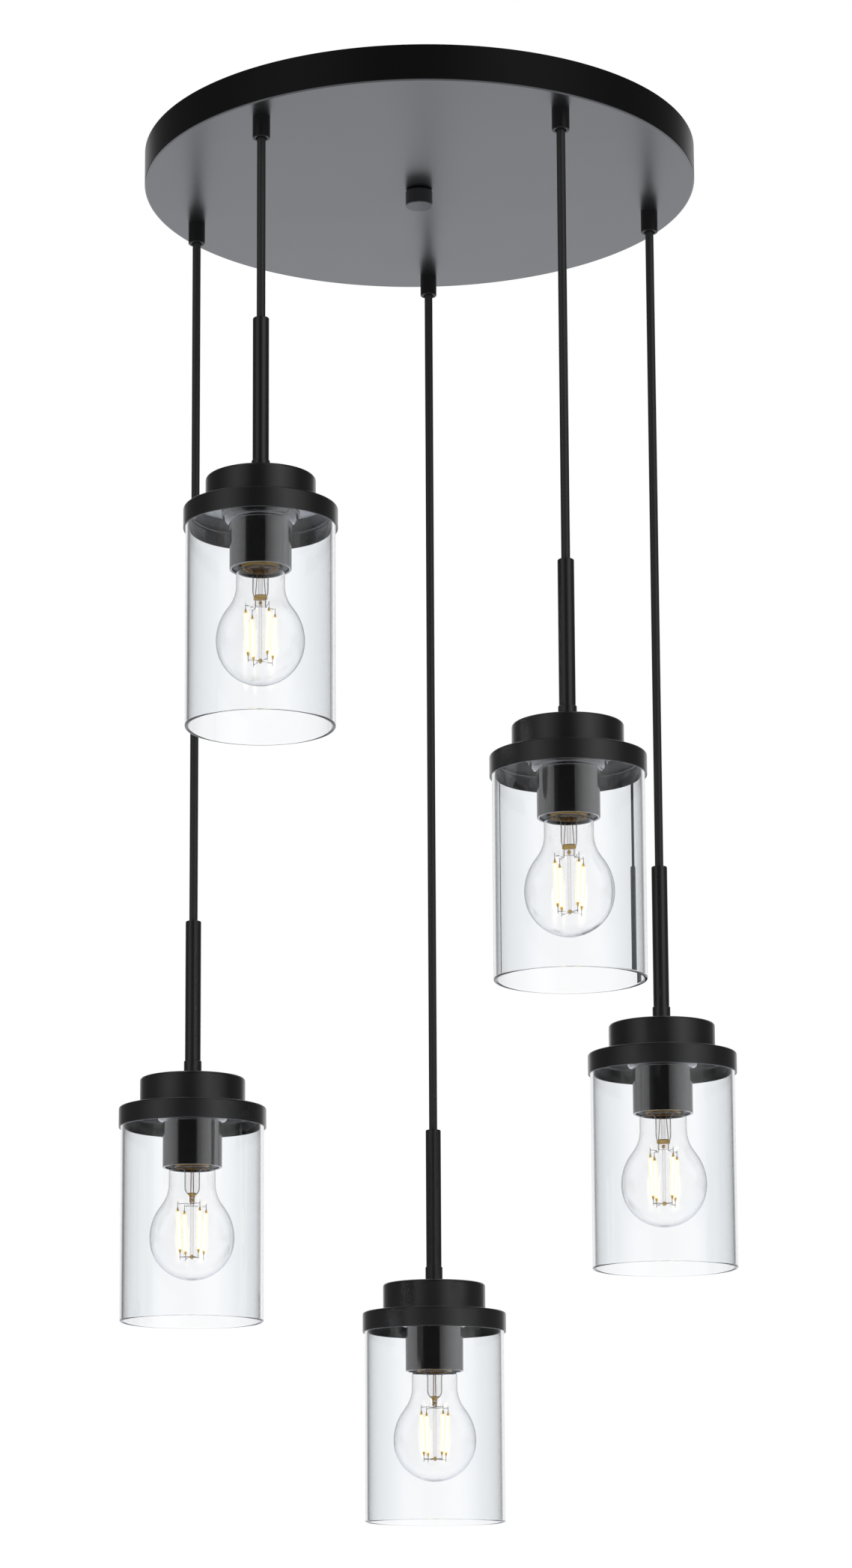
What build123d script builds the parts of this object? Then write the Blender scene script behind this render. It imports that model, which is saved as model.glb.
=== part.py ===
from build123d import *
import math
import os

os.makedirs("parts", exist_ok=True)

# Five-light cluster pendant for a ceiling box.
# Millimetres, +Z up. The origin is on the ceiling plane, at the middle of the mounting bar's slots.
# Every pendant hangs on its own cord from a grip in the canopy. Pendant 1 is the one at the back
# (+Y), and the others follow anticlockwise as seen from above.

# Layout
drop_1 = 660.0             # underside of the canopy to the top of each stem
drop_2 = 525.0
drop_3 = 145.0
drop_4 = 320.0
drop_5 = 490.0
first_azimuth = 90.0       # of pendant 1, in degrees from +X
grip_inset = 23.0          # of the grips' axes from the canopy's edge

# Canopy pan
canopy_radius = 198.0
canopy_height = 25.5
canopy_wall = 1.2
canopy_edge_radius = 1.5

# Mounting bar and the stud that carries the canopy
bar_length = 118.0
bar_width = 26.0
bar_thickness = 2.5
bar_corner_radius = 5.0
slot_spacing = 79.4        # middle to middle, so that one slot serves 69.9 and 88.9 mm boxes
slot_length = 16.4
slot_width = 4.8
thread_radius = 4.85       # M10 x 1 lamp thread
thread_clearance = 0.15
thread_chamfer = 0.6
nut_across_flats = 14.0
nut_height = 4.0
ground_screw_offset = 20.0
ground_screw_radius = 1.75
ground_head_radius = 4.0
ground_head_height = 2.4
ground_slot_width = 1.0
ground_slot_depth = 1.1

# Finial nut under the canopy
finial_radius = 9.75
finial_height = 12.0
finial_shoulder = 2.0
finial_bore_depth = 8.0
finial_running_gap = 0.3
stud_engagement = 7.0

# Cord grips
cord_radius = 3.0
grip_radius = 6.1
grip_length = 15.5
grip_bore_gap = 0.3
grip_chamfer = 0.5
grip_mouth_radius = 4.0
grip_nipple_height = 9.5
pivot_depth = 2.5          # of the cord's bending point above the grip's lower face
bend_ball_radius = 2.2
bend_gap = 0.3
tail_lift = 1.0            # of the fixed cord's end above the bending point
set_screw_radius = 1.5
set_screw_gap = 0.05
set_screw_height = 8.0     # above the grip's lower face
set_screw_azimuth = 90.0
hex_key_flats = 1.5
hex_key_depth = 1.2
hex_sides = 6

# Terminal block in the canopy, and the fixed cords that run to it
block_centre_y = -40.0
block_length = 70.0
block_width = 20.0
block_height = 16.0
block_edge_radius = 1.5
block_screw_radius = 2.0
block_screw_depth = 1.5
block_screw_pitch = 12.0
block_screw_count = 5
entry_spacing = 24.0       # between the two cord entries on one long side
entry_height = 8.0         # of the cord entries above the canopy's floor
tail_top_clearance = 4.0   # between the ceiling plane and the fixed cords
tail_bend_radius = 8.0     # where a fixed cord turns out of its grip
arc_share = 0.45           # of the shorter run at a point, taken by the arc there

# Stem with its coupling
stem_radius = 5.6
stem_length = 101.5
stem_bore_radius = 2.4
stem_edge_radius = 0.8
cord_seat_depth = 6.0
cord_seat_gap = 0.3
coupling_radius = 6.3
coupling_height = 12.5
coupling_floor = 2.0
coupling_gap = 0.05        # round the tube, under it and round the set screw
coupling_screw_radius = 1.3
coupling_screw_height = 4.0
coupling_screw_azimuth = 236.0

# Cap: an upper cup on a shade cover
cup_radius = 37.4
cup_height = 21.0
cup_wall = 1.5
cup_edge_radius = 2.0
cover_radius = 52.4
cover_height = 14.5
cover_plate = 1.5
cover_wall = 1.2
cover_edge_radius = 1.5
cover_lip_radius = 0.4

# Glass shade
shade_radius = 50.8
shade_wall = 2.4
shade_length = 138.0       # of glass below the cover
shade_shoulder_radius = 4.0
shade_rim_radius = 1.1
shade_seat_gap = 0.5
shade_hole_gap = 0.8

# Lampholder with its outer sleeve
holder_radius = 19.0
holder_recess = 1.2
holder_mouth_chamfer = 1.2
nipple_engagement = 6.0
sleeve_radius = 21.0
sleeve_gap = 0.3
sleeve_projection = 28.5   # below the cover
sleeve_flange_radius = 26.6
sleeve_flange_height = 1.2
sleeve_shoulder_radius = 5.0
sleeve_edge_radius = 0.3
screw_shell_radius = 13.5
screw_shell_wall = 0.7
screw_shell_length = 22.0
screw_shell_gap = 0.2
contact_radius = 4.0
contact_thickness = 0.8
contact_gap = 0.2
bulb_insertion = 25.9      # of the bulb's tip above the sleeve's mouth

# Bulb, a 60 mm globe on a 26 mm screw base
bulb_radius = 30.0
bulb_crown_radius = 36.0   # of the flatter curve above the widest place
bulb_length = 106.0
bulb_wall = 0.8
bulb_neck_radius = 16.5
bulb_throat_radius = 12.4
bulb_shoulder_height = 3.0
bulb_cone_angle = 35.0
bulb_cone_blend = 26.0
base_radius = 13.05
base_thread_depth = 0.65
base_thread_pitch = 3.63
base_thread_count = 5
base_height = 26.0
base_insulator_height = 2.5
base_contact_height = 1.0
base_contact_radius = 4.5
pinch_radius = 5.7
pinch_wall = 0.8
pinch_depth = 46.0         # from the tip of the base to the end of the inner glass tube
post_radius = 1.2
filament_radius = 0.9
filament_top = 57.0        # from the tip of the base
filament_bottom = 85.5
filament_top_circle = 11.5
filament_bottom_circle = 9.4
filament_azimuth = 34.0
filament_count = 4
wire_radius = 0.3
wire_rise = 4.4            # between a filament's end and the cross of wires beyond it
wire_bend_radius = 1.2
ring_radius = 1.9
ring_height = 1.2
small_seat_gap = 0.05      # between touching pieces that share one node

# Places that follow from the sizes
drops = [drop_1, drop_2, drop_3, drop_4, drop_5]
pendant_count = len(drops)
grip_circle_radius = canopy_radius - grip_inset
canopy_floor = -canopy_height + canopy_wall
grip_end = -canopy_height - grip_length
pivot_height = grip_end + pivot_depth
nipple_top = -canopy_height + grip_nipple_height
set_screw_level = grip_end + set_screw_height
cover_underside = -cup_height - cover_plate
cover_lip = -cup_height - cover_height
shade_top = cover_underside - shade_seat_gap
flange_top = shade_top - shade_wall
sleeve_end = cover_lip - sleeve_projection
holder_end = sleeve_end + holder_recess
cup_drop = stem_length + coupling_height   # top of the stem to the top of the cup
nipple_end = cover_underside - nipple_engagement
bulb_centre = bulb_length - bulb_radius    # tip of the base to the middle of the globe
bulb_tip = sleeve_end + bulb_insertion
contact_top = bulb_tip + contact_gap
shell_outer = screw_shell_radius + screw_shell_wall
holder_bore = shell_outer + screw_shell_gap


def spot(number):
    """The place of a pendant's axis in plan."""
    azimuth = math.radians(first_azimuth + number * 360 / pendant_count)
    return grip_circle_radius * math.cos(azimuth), grip_circle_radius * math.sin(azimuth)


def section(x, y, z):
    """An upright drawing plane through an axis at x, y: its x is the radius, its y the height above z."""
    return Plane(origin=(x, y, z), x_dir=(1, 0, 0), z_dir=(0, -1, 0))


def side_plane(x, y, z, azimuth):
    """A plane through x, y, z that faces outwards at an azimuth in degrees."""
    turn = math.radians(azimuth)
    return Plane(origin=(x, y, z), z_dir=(math.cos(turn), math.sin(turn), 0))


spots = [spot(number) for number in range(pendant_count)]


# Canopy pan
with BuildPart() as canopy_pan:
    with BuildSketch(Plane.XY.offset(-canopy_height)):
        Circle(canopy_radius)
    extrude(amount=canopy_height)
    fillet(canopy_pan.edges().group_by(Axis.Z)[0], canopy_edge_radius)
    offset(amount=-canopy_wall, openings=canopy_pan.faces().sort_by(Axis.Z)[-1])
    with BuildSketch(Plane.XY.offset(-canopy_height)):
        Circle(thread_radius + thread_clearance)
        with Locations(*spots):
            Circle(thread_radius + thread_clearance)
    extrude(amount=canopy_wall, mode=Mode.SUBTRACT)
canopy_pan.part.label = "canopy_pan"
export_step(canopy_pan.part, "parts/canopy_pan.step")

# Mounting bar, flat against the ceiling box
with BuildPart() as mounting_bar:
    with BuildSketch(Plane.XY.offset(-bar_thickness)):
        RectangleRounded(bar_length, bar_width, bar_corner_radius)
        with GridLocations(slot_spacing, 0, 2, 1):
            SlotOverall(slot_length, slot_width, mode=Mode.SUBTRACT)
        Circle(thread_radius + thread_clearance, mode=Mode.SUBTRACT)
        with Locations((ground_screw_offset, 0)):
            Circle(ground_screw_radius + thread_clearance, mode=Mode.SUBTRACT)
    extrude(amount=bar_thickness)
mounting_bar.part.label = "mounting_bar"
export_step(mounting_bar.part, "parts/mounting_bar.step")

# Stud through the bar that the finial pulls the canopy up on
stud_length = canopy_height + stud_engagement
with BuildPart() as centre_stud:
    with BuildSketch(Plane.XY.offset(-stud_length)):
        Circle(thread_radius)
    extrude(amount=stud_length)
    chamfer(centre_stud.edges().filter_by(GeomType.CIRCLE), thread_chamfer)
centre_stud.part.label = "centre_stud"
export_step(centre_stud.part, "parts/centre_stud.step")

# Finial nut
with BuildPart() as finial:
    with BuildSketch(Plane.XY.offset(-canopy_height - finial_height)):
        Circle(finial_radius)
    extrude(amount=finial_height)
    fillet(finial.edges().group_by(Axis.Z)[-1], finial_shoulder)
    chamfer(finial.edges().group_by(Axis.Z)[0], grip_chamfer)
    with BuildSketch(Plane.XY.offset(-canopy_height - finial_bore_depth)):
        Circle(thread_radius + finial_running_gap)
    extrude(amount=finial_bore_depth, mode=Mode.SUBTRACT)
finial.part.label = "finial"
export_step(finial.part, "parts/finial.step")

# Ground screw, up through the bar
with BuildPart() as ground_screw:
    with BuildSketch(Plane.XY.offset(-bar_thickness - ground_head_height)):
        with Locations((ground_screw_offset, 0)):
            Circle(ground_head_radius)
    extrude(amount=ground_head_height)
    with BuildSketch(Plane.XY.offset(-bar_thickness)):
        with Locations((ground_screw_offset, 0)):
            Circle(ground_screw_radius)
    extrude(amount=bar_thickness)
    with BuildSketch(Plane.XY.offset(-bar_thickness - ground_head_height)):
        with Locations((ground_screw_offset, 0)):
            Rectangle(2 * ground_head_radius, ground_slot_width)
    extrude(amount=ground_slot_depth, mode=Mode.SUBTRACT)
ground_screw.part.label = "ground_screw"
export_step(ground_screw.part, "parts/ground_screw.step")

# Cord grips: a plain barrel below the canopy and a threaded nipple through it
with BuildPart() as cord_grips:
    for x, y in spots:
        with BuildSketch(section(x, y, 0)):
            with BuildLine():
                Polyline(
                    (cord_radius + grip_bore_gap, nipple_top),
                    (cord_radius + grip_bore_gap, pivot_height),
                    (grip_mouth_radius, grip_end),
                    (grip_radius - grip_chamfer, grip_end),
                    (grip_radius, grip_end + grip_chamfer),
                    (grip_radius, -canopy_height),
                    (thread_radius, -canopy_height),
                    (thread_radius, nipple_top),
                    close=True,
                )
            make_face()
        revolve(axis=Axis((x, y, 0), (0, 0, 1)))
        with BuildSketch(side_plane(x, y, set_screw_level, set_screw_azimuth)):
            Circle(set_screw_radius)
        extrude(amount=grip_radius, mode=Mode.SUBTRACT)
cord_grips.part.label = "cord_grips"
export_step(cord_grips.part, "parts/cord_grips.step")

# Grip set screws, headless, flush with the barrel
screw_start = cord_radius + set_screw_gap
with BuildPart() as grip_set_screws:
    for x, y in spots:
        screw_plane = side_plane(x, y, set_screw_level, set_screw_azimuth)
        with BuildSketch(screw_plane.offset(screw_start)):
            Circle(set_screw_radius - set_screw_gap)
        extrude(amount=grip_radius - screw_start)
        with BuildSketch(screw_plane.offset(grip_radius)):
            RegularPolygon(hex_key_flats / 2, hex_sides, major_radius=False)
        extrude(amount=-hex_key_depth, mode=Mode.SUBTRACT)
grip_set_screws.part.label = "grip_set_screws"
export_step(grip_set_screws.part, "parts/grip_set_screws.step")

# Locknuts: one on each grip's nipple, on the canopy's floor, and one on the stud, under the bar
with BuildPart() as locknuts:
    with BuildSketch(Plane.XY.offset(canopy_floor)):
        with Locations(*spots):
            RegularPolygon(nut_across_flats / 2, hex_sides, major_radius=False)
            Circle(thread_radius + thread_clearance, mode=Mode.SUBTRACT)
    extrude(amount=nut_height)
    with BuildSketch(Plane.XY.offset(-bar_thickness - nut_height)):
        RegularPolygon(nut_across_flats / 2, hex_sides, major_radius=False)
        Circle(thread_radius + thread_clearance, mode=Mode.SUBTRACT)
    extrude(amount=nut_height)
locknuts.part.label = "locknuts"
export_step(locknuts.part, "parts/locknuts.step")

# Terminal block on the canopy's floor
with BuildPart() as terminal_block:
    with BuildSketch(Plane.XY.offset(canopy_floor)):
        with Locations((0, block_centre_y)):
            Rectangle(block_length, block_width)
    extrude(amount=block_height)
    fillet(terminal_block.edges().group_by(Axis.Z)[-1], block_edge_radius)
    with BuildSketch(Plane.XY.offset(canopy_floor + block_height - block_screw_depth)):
        with Locations((0, block_centre_y)):
            with GridLocations(block_screw_pitch, 0, block_screw_count, 1):
                Circle(block_screw_radius)
    extrude(amount=block_screw_depth, mode=Mode.SUBTRACT)
terminal_block.part.label = "terminal_block"
export_step(terminal_block.part, "parts/terminal_block.step")

# Fixed cords inside the canopy: up out of each grip, over, and along to the terminal block
tail_run_height = -tail_top_clearance - cord_radius
entry_level = canopy_floor + entry_height
block_front = block_centre_y - block_width / 2
block_back = block_centre_y + block_width / 2
block_end = block_length / 2

# The first point of each route is measured in plan from its grip, the others from the canopy's axis
tail_routes = [
    [
        (8, -36, -8),
        (27, 83, -10),
        (entry_spacing, 18, entry_level),
        (entry_spacing, block_back, entry_level),
    ],
    [
        (30.4, -20.1, -8),
        (-94, -14, -12),
        (-60, block_centre_y, entry_level),
        (-block_end, block_centre_y, entry_level),
    ],
    [
        (24.9, 18.6, -9),
        (-31, -102, -13),
        (-entry_spacing / 2, -77, entry_level),
        (-entry_spacing / 2, block_front, entry_level),
    ],
    [
        (-23.9, 20.6, -9),
        (30, -104, -13),
        (entry_spacing / 2, -78, entry_level),
        (entry_spacing / 2, block_front, entry_level),
    ],
    [
        (-28.4, -22.1, -8),
        (91, -17, -12),
        (60, block_centre_y, entry_level),
        (block_end, block_centre_y, entry_level),
    ],
]


def bend_radii(route):
    """The tight turn out of the grip first, and then as large an arc at each point as its runs allow."""
    corners = [Vector(*point) for point in route]
    radii = [tail_bend_radius]
    for before, corner, after in zip(corners[1:], corners[2:], corners[3:]):
        half_turn = math.radians((corner - before).get_angle(after - corner)) / 2
        shorter = min((corner - before).length, (after - corner).length)
        radii.append(arc_share * shorter / math.tan(half_turn))
    return radii


section_area = math.pi * cord_radius**2
with BuildPart() as cord_tails:
    for (x, y), (first, *others) in zip(spots, tail_routes):
        aside, along, level = first
        route = [
            (x, y, pivot_height + tail_lift),
            (x, y, tail_run_height),
            (x + aside, y + along, level),
            *others,
        ]
        radii = bend_radii(route)
        with BuildLine() as tail_line:
            FilletPolyline(*route, radius=radii)
        with BuildSketch(Plane.XY.offset(pivot_height + tail_lift)):
            with Locations((x, y)):
                Circle(cord_radius)
        sweep(path=tail_line.wire())
        length = tail_line.wire().length
        print("fixed cord length", round(length, 1), "radii", [round(radius, 1) for radius in radii])
        print("section times length", round(section_area * length))
    print("volumes", [round(solid.volume) for solid in cord_tails.part.solids()])
    for x, y in spots:
        with Locations((x, y, pivot_height)):
            Sphere(bend_ball_radius + bend_gap, mode=Mode.SUBTRACT)
cord_tails.part.label = "cord_tails"
export_step(cord_tails.part, "parts/cord_tails.step")

# Cords that hang, each with the ball at the point where it bends in the grip's mouth
for number, ((x, y), drop) in enumerate(zip(spots, drops), start=1):
    cord_end = -canopy_height - drop - cord_seat_depth
    with BuildPart() as cord_bend:
        with Locations((x, y, pivot_height)):
            Sphere(bend_ball_radius)
    cord_bend.part.label = f"cord_bend_{number}"
    export_step(cord_bend.part, f"parts/cord_bend_{number}.step")
    with BuildPart() as hanging_cord:
        with BuildSketch(Plane.XY.offset(cord_end)):
            with Locations((x, y)):
                Circle(cord_radius)
        extrude(amount=pivot_height - cord_end)
        with Locations((x, y, pivot_height)):
            Sphere(bend_ball_radius + bend_gap, mode=Mode.SUBTRACT)
    hanging_cord.part.label = f"hanging_cord_{number}"
    export_step(hanging_cord.part, f"parts/hanging_cord_{number}.step")
    print("hanging cord", number, "length", round(pivot_height - cord_end, 1))


def bulb_outline(inset):
    """Half of the globe's outline, closed along the axis, drawn an inset inside the glass."""
    turn = math.radians(bulb_cone_angle)
    globe = bulb_radius - inset
    crown = bulb_crown_radius - inset
    crown_middle = bulb_radius - bulb_crown_radius
    neck = bulb_neck_radius - inset
    throat = bulb_throat_radius - inset
    neck_top = -base_height - inset
    shoulder = -base_height - bulb_shoulder_height
    meet_x = crown_middle + crown * math.cos(turn)
    meet_y = -bulb_centre + crown * math.sin(turn)
    corner_y = meet_y + (meet_x - neck) / math.tan(turn)
    blend = bulb_cone_blend + inset
    reach = blend * math.tan(turn / 2)
    blend_start = (neck, corner_y + reach)
    blend_end = (neck + reach * math.sin(turn), corner_y - reach * math.cos(turn))
    Polyline((0, neck_top), (throat, neck_top), (neck, shoulder), blend_start)
    RadiusArc(blend_start, blend_end, blend)
    Line(blend_end, (meet_x, meet_y))
    CenterArc((crown_middle, -bulb_centre), crown, 0, bulb_cone_angle)
    CenterArc((0, -bulb_centre), globe, 0, -90)
    Line((0, -bulb_centre - globe), (0, neck_top))


# One lamp, drawn about the Z axis with the top of its cap at z = 0
lamp_plane = section(0, 0, 0)
coupling_screw_plane = side_plane(0, 0, coupling_screw_height, coupling_screw_azimuth)

# Stem: the tube, its coupling with a nipple through the cap, a set screw and a locknut
with BuildPart() as stem_tube:
    with BuildSketch(lamp_plane):
        with BuildLine():
            Polyline(
                (stem_bore_radius, coupling_floor + coupling_gap),
                (stem_bore_radius, cup_drop - cord_seat_depth),
                (cord_radius + cord_seat_gap, cup_drop - cord_seat_depth),
                (cord_radius + cord_seat_gap, cup_drop),
                (stem_radius, cup_drop),
                (stem_radius, coupling_floor + coupling_gap),
                close=True,
            )
        make_face()
    revolve(axis=Axis.Z)
    fillet(stem_tube.edges().group_by(Axis.Z)[-1].sort_by(SortBy.RADIUS)[-1], stem_edge_radius)
    with BuildSketch(coupling_screw_plane):
        Circle(coupling_screw_radius + coupling_gap)
    extrude(amount=coupling_radius, mode=Mode.SUBTRACT)
with BuildPart() as coupling:
    with BuildSketch(lamp_plane):
        with BuildLine():
            Polyline(
                (stem_bore_radius, nipple_end),
                (stem_bore_radius, coupling_floor),
                (stem_radius + coupling_gap, coupling_floor),
                (stem_radius + coupling_gap, coupling_height),
                (coupling_radius, coupling_height),
                (coupling_radius, 0),
                (thread_radius, 0),
                (thread_radius, nipple_end),
                close=True,
            )
        make_face()
    revolve(axis=Axis.Z)
    with BuildSketch(coupling_screw_plane):
        Circle(coupling_screw_radius + coupling_gap)
    extrude(amount=coupling_radius, mode=Mode.SUBTRACT)
with BuildPart() as coupling_screw:
    with BuildSketch(coupling_screw_plane.offset(stem_bore_radius)):
        Circle(coupling_screw_radius)
    extrude(amount=coupling_radius - stem_bore_radius)
    with BuildSketch(coupling_screw_plane.offset(coupling_radius)):
        RegularPolygon(hex_key_flats / 2, hex_sides, major_radius=False)
    extrude(amount=-hex_key_depth, mode=Mode.SUBTRACT)
with BuildPart() as cup_nut:
    with BuildSketch(Plane.XY.offset(-cup_wall - nut_height)):
        RegularPolygon(nut_across_flats / 2, hex_sides, major_radius=False)
        Circle(thread_radius + thread_clearance, mode=Mode.SUBTRACT)
    extrude(amount=nut_height)
with BuildPart() as stem:
    add([stem_tube.part, coupling.part, coupling_screw.part, cup_nut.part])

# Cap: the upper cup stands on the shade cover
with BuildPart() as cup:
    with BuildSketch(Plane.XY.offset(small_seat_gap - cup_height)):
        Circle(cup_radius)
    extrude(amount=cup_height - small_seat_gap)
    fillet(cup.edges().group_by(Axis.Z)[-1], cup_edge_radius)
    offset(amount=-cup_wall, openings=cup.faces().sort_by(Axis.Z)[0])
    with BuildSketch(Plane.XY.offset(-cup_wall)):
        Circle(thread_radius + thread_clearance)
    extrude(amount=cup_wall, mode=Mode.SUBTRACT)
with BuildPart() as cover:
    with BuildSketch(lamp_plane):
        with BuildLine():
            Polyline(
                (thread_radius + thread_clearance, -cup_height),
                (cover_radius, -cup_height),
                (cover_radius, cover_lip),
                (cover_radius - cover_wall, cover_lip),
                (cover_radius - cover_wall, cover_underside),
                (thread_radius + thread_clearance, cover_underside),
                close=True,
            )
        make_face()
    revolve(axis=Axis.Z)
    fillet(cover.edges().group_by(Axis.Z)[-1].sort_by(SortBy.RADIUS)[-1], cover_edge_radius)
    fillet(cover.edges().group_by(Axis.Z)[0], cover_lip_radius)
with BuildPart() as cap:
    add([cup.part, cover.part])

# Glass shade: a cylinder with a flat top, open below, with a hole for the lampholder
shade_inner = shade_radius - shade_wall
with BuildPart() as glass_shade:
    with BuildSketch(lamp_plane):
        with BuildLine():
            Polyline(
                (holder_radius + shade_hole_gap, shade_top),
                (shade_radius, shade_top),
                (shade_radius, cover_lip - shade_length),
                (shade_inner, cover_lip - shade_length),
                (shade_inner, flange_top),
                (holder_radius + shade_hole_gap, flange_top),
                close=True,
            )
        make_face()
    revolve(axis=Axis.Z)
    fillet(glass_shade.edges().group_by(Axis.Z)[0], shade_rim_radius)
    fillet(glass_shade.edges().group_by(Axis.Z)[-1].sort_by(SortBy.RADIUS)[-1], shade_shoulder_radius)
    fillet(
        glass_shade.edges().filter_by(GeomType.CIRCLE).filter_by_position(
            Axis.Z, flange_top - coupling_gap, flange_top + coupling_gap
        ).sort_by(SortBy.RADIUS)[-1],
        shade_shoulder_radius - shade_wall,
    )

# Sleeve round the lampholder, with the flange that carries the glass
with BuildPart() as lamp_sleeve:
    with BuildSketch(lamp_plane):
        with BuildLine():
            flange_bottom = flange_top - sleeve_flange_height
            Polyline(
                (sleeve_radius + sleeve_shoulder_radius, flange_bottom),
                (sleeve_flange_radius, flange_bottom),
                (sleeve_flange_radius, flange_top),
                (holder_radius + sleeve_gap, flange_top),
                (holder_radius + sleeve_gap, sleeve_end),
                (sleeve_radius, sleeve_end),
                (sleeve_radius, flange_bottom - sleeve_shoulder_radius),
            )
            CenterArc((sleeve_radius, flange_bottom), sleeve_shoulder_radius, 0, -90)
        make_face()
    revolve(axis=Axis.Z)
    fillet(lamp_sleeve.edges().group_by(Axis.Z)[0], sleeve_edge_radius)

# Lampholder body, screwed onto the nipple
with BuildPart() as lampholder:
    with BuildSketch(lamp_plane):
        with BuildLine():
            Polyline(
                (0, nipple_end - coupling_gap),
                (thread_radius + thread_clearance, nipple_end - coupling_gap),
                (thread_radius + thread_clearance, cover_underside),
                (holder_radius, cover_underside),
                (holder_radius, holder_end),
                (holder_bore + holder_mouth_chamfer, holder_end),
                (holder_bore, holder_end + holder_mouth_chamfer),
                (holder_bore, contact_top + contact_thickness),
                (0, contact_top + contact_thickness),
                close=True,
            )
        make_face()
    revolve(axis=Axis.Z)

# Screw shell and centre contact
with BuildPart() as screw_shell:
    with BuildSketch(Plane.XY.offset(contact_top + contact_thickness - screw_shell_length)):
        Circle(shell_outer)
        Circle(screw_shell_radius, mode=Mode.SUBTRACT)
    extrude(amount=screw_shell_length)
    with BuildSketch(Plane.XY.offset(contact_top)):
        Circle(contact_radius)
    extrude(amount=contact_thickness)

# Bulb glass: the globe with its inner tube and post
bulb_plane = section(0, 0, bulb_tip)
pinch_inner = pinch_radius - pinch_wall
pinch_turn = -pinch_depth + pinch_radius
post_bottom = -filament_bottom - wire_rise - ring_height
with BuildPart() as bulb_glass:
    with BuildSketch(bulb_plane):
        with BuildLine():
            bulb_outline(0)
        make_face()
        with BuildLine():
            bulb_outline(bulb_wall)
        make_face(mode=Mode.SUBTRACT)
    revolve(axis=Axis.Z)
    with BuildSketch(bulb_plane):
        with BuildLine():
            Line((pinch_inner, -base_height), (pinch_radius, -base_height))
            Line((pinch_radius, -base_height), (pinch_radius, pinch_turn))
            CenterArc((0, pinch_turn), pinch_radius, 0, -90)
            Line((0, -pinch_depth), (0, -pinch_depth + pinch_wall))
            CenterArc((0, pinch_turn), pinch_inner, 0, -90)
            Line((pinch_inner, pinch_turn), (pinch_inner, -base_height))
        make_face()
    revolve(axis=Axis.Z)
    with BuildSketch(Plane.XY.offset(bulb_tip + post_bottom)):
        Circle(post_radius)
    extrude(amount=-pinch_depth + pinch_wall - post_bottom)

# Bulb base: the screw shell with rounded threads, the insulator with its contact, the filament cage
thread_root = base_radius - base_thread_depth
thread_bottom = -base_height + base_thread_pitch / 2
thread_top = thread_bottom + base_thread_count * base_thread_pitch
shell_top = -base_contact_height - base_insulator_height
with BuildPart() as base_shell:
    with BuildSketch(bulb_plane):
        with BuildLine():
            Polyline(
                (thread_root, thread_bottom),
                (thread_root, -base_height),
                (0, -base_height),
                (0, shell_top),
                (thread_root, shell_top),
                (thread_root, thread_top),
            )
            for turn in range(base_thread_count):
                foot = thread_bottom + turn * base_thread_pitch
                ThreePointArc(
                    (thread_root, foot),
                    (base_radius, foot + base_thread_pitch / 2),
                    (thread_root, foot + base_thread_pitch),
                )
        make_face()
    revolve(axis=Axis.Z)
with BuildPart() as insulator:
    with BuildSketch(bulb_plane):
        with BuildLine():
            Polyline(
                (0, 0),
                (base_contact_radius, 0),
                (base_contact_radius, -base_contact_height),
                (thread_root - base_thread_depth, shell_top + small_seat_gap),
                (0, shell_top + small_seat_gap),
                close=True,
            )
        make_face()
    revolve(axis=Axis.Z)
top_ring = bulb_tip - filament_top + wire_rise
low_ring = bulb_tip - filament_bottom - wire_rise
with BuildPart() as filament_cage:
    for level in (top_ring, low_ring):
        with BuildSketch(Plane.XY.offset(level - ring_height / 2)):
            Circle(ring_radius)
            Circle(post_radius + small_seat_gap, mode=Mode.SUBTRACT)
        extrude(amount=ring_height)
    for turn in range(filament_count):
        azimuth = math.radians(filament_azimuth + turn * 360 / filament_count)
        ray = Vector(math.cos(azimuth), math.sin(azimuth), 0)
        hub = (post_radius + ring_radius) / 2
        top = ray * filament_top_circle + Vector(0, 0, bulb_tip - filament_top)
        low = ray * filament_bottom_circle + Vector(0, 0, bulb_tip - filament_bottom)
        with BuildSketch(Plane(origin=low, z_dir=top - low)):
            Circle(filament_radius)
        extrude(amount=(top - low).length)
        with BuildLine() as top_wire:
            FilletPolyline(
                ray * hub + Vector(0, 0, top_ring),
                ray * filament_top_circle + Vector(0, 0, top_ring),
                top,
                radius=wire_bend_radius,
            )
        with BuildSketch(Plane(origin=top_wire.line @ 0, z_dir=ray)):
            Circle(wire_radius)
        sweep(path=top_wire.wire())
        with BuildLine() as low_wire:
            FilletPolyline(
                ray * hub + Vector(0, 0, low_ring),
                ray * filament_bottom_circle + Vector(0, 0, low_ring),
                low,
                radius=wire_bend_radius,
            )
        with BuildSketch(Plane(origin=low_wire.line @ 0, z_dir=ray)):
            Circle(wire_radius)
        sweep(path=low_wire.wire())
with BuildPart() as bulb_base:
    add([base_shell.part, insulator.part, filament_cage.part])

# The five lamps, each at the end of its cord
lamp_pieces = {
    "stem": stem,
    "cap": cap,
    "glass_shade": glass_shade,
    "lamp_sleeve": lamp_sleeve,
    "lampholder": lampholder,
    "screw_shell": screw_shell,
    "bulb_glass": bulb_glass,
    "bulb_base": bulb_base,
}
for number, ((x, y), drop) in enumerate(zip(spots, drops), start=1):
    for piece_name, piece in lamp_pieces.items():
        with BuildPart() as lamp_piece:
            with Locations((x, y, -canopy_height - drop - cup_drop)):
                add(piece.part)
        lamp_piece.part.label = f"{piece_name}_{number}"
        export_step(lamp_piece.part, f"parts/{piece_name}_{number}.step")
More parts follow.
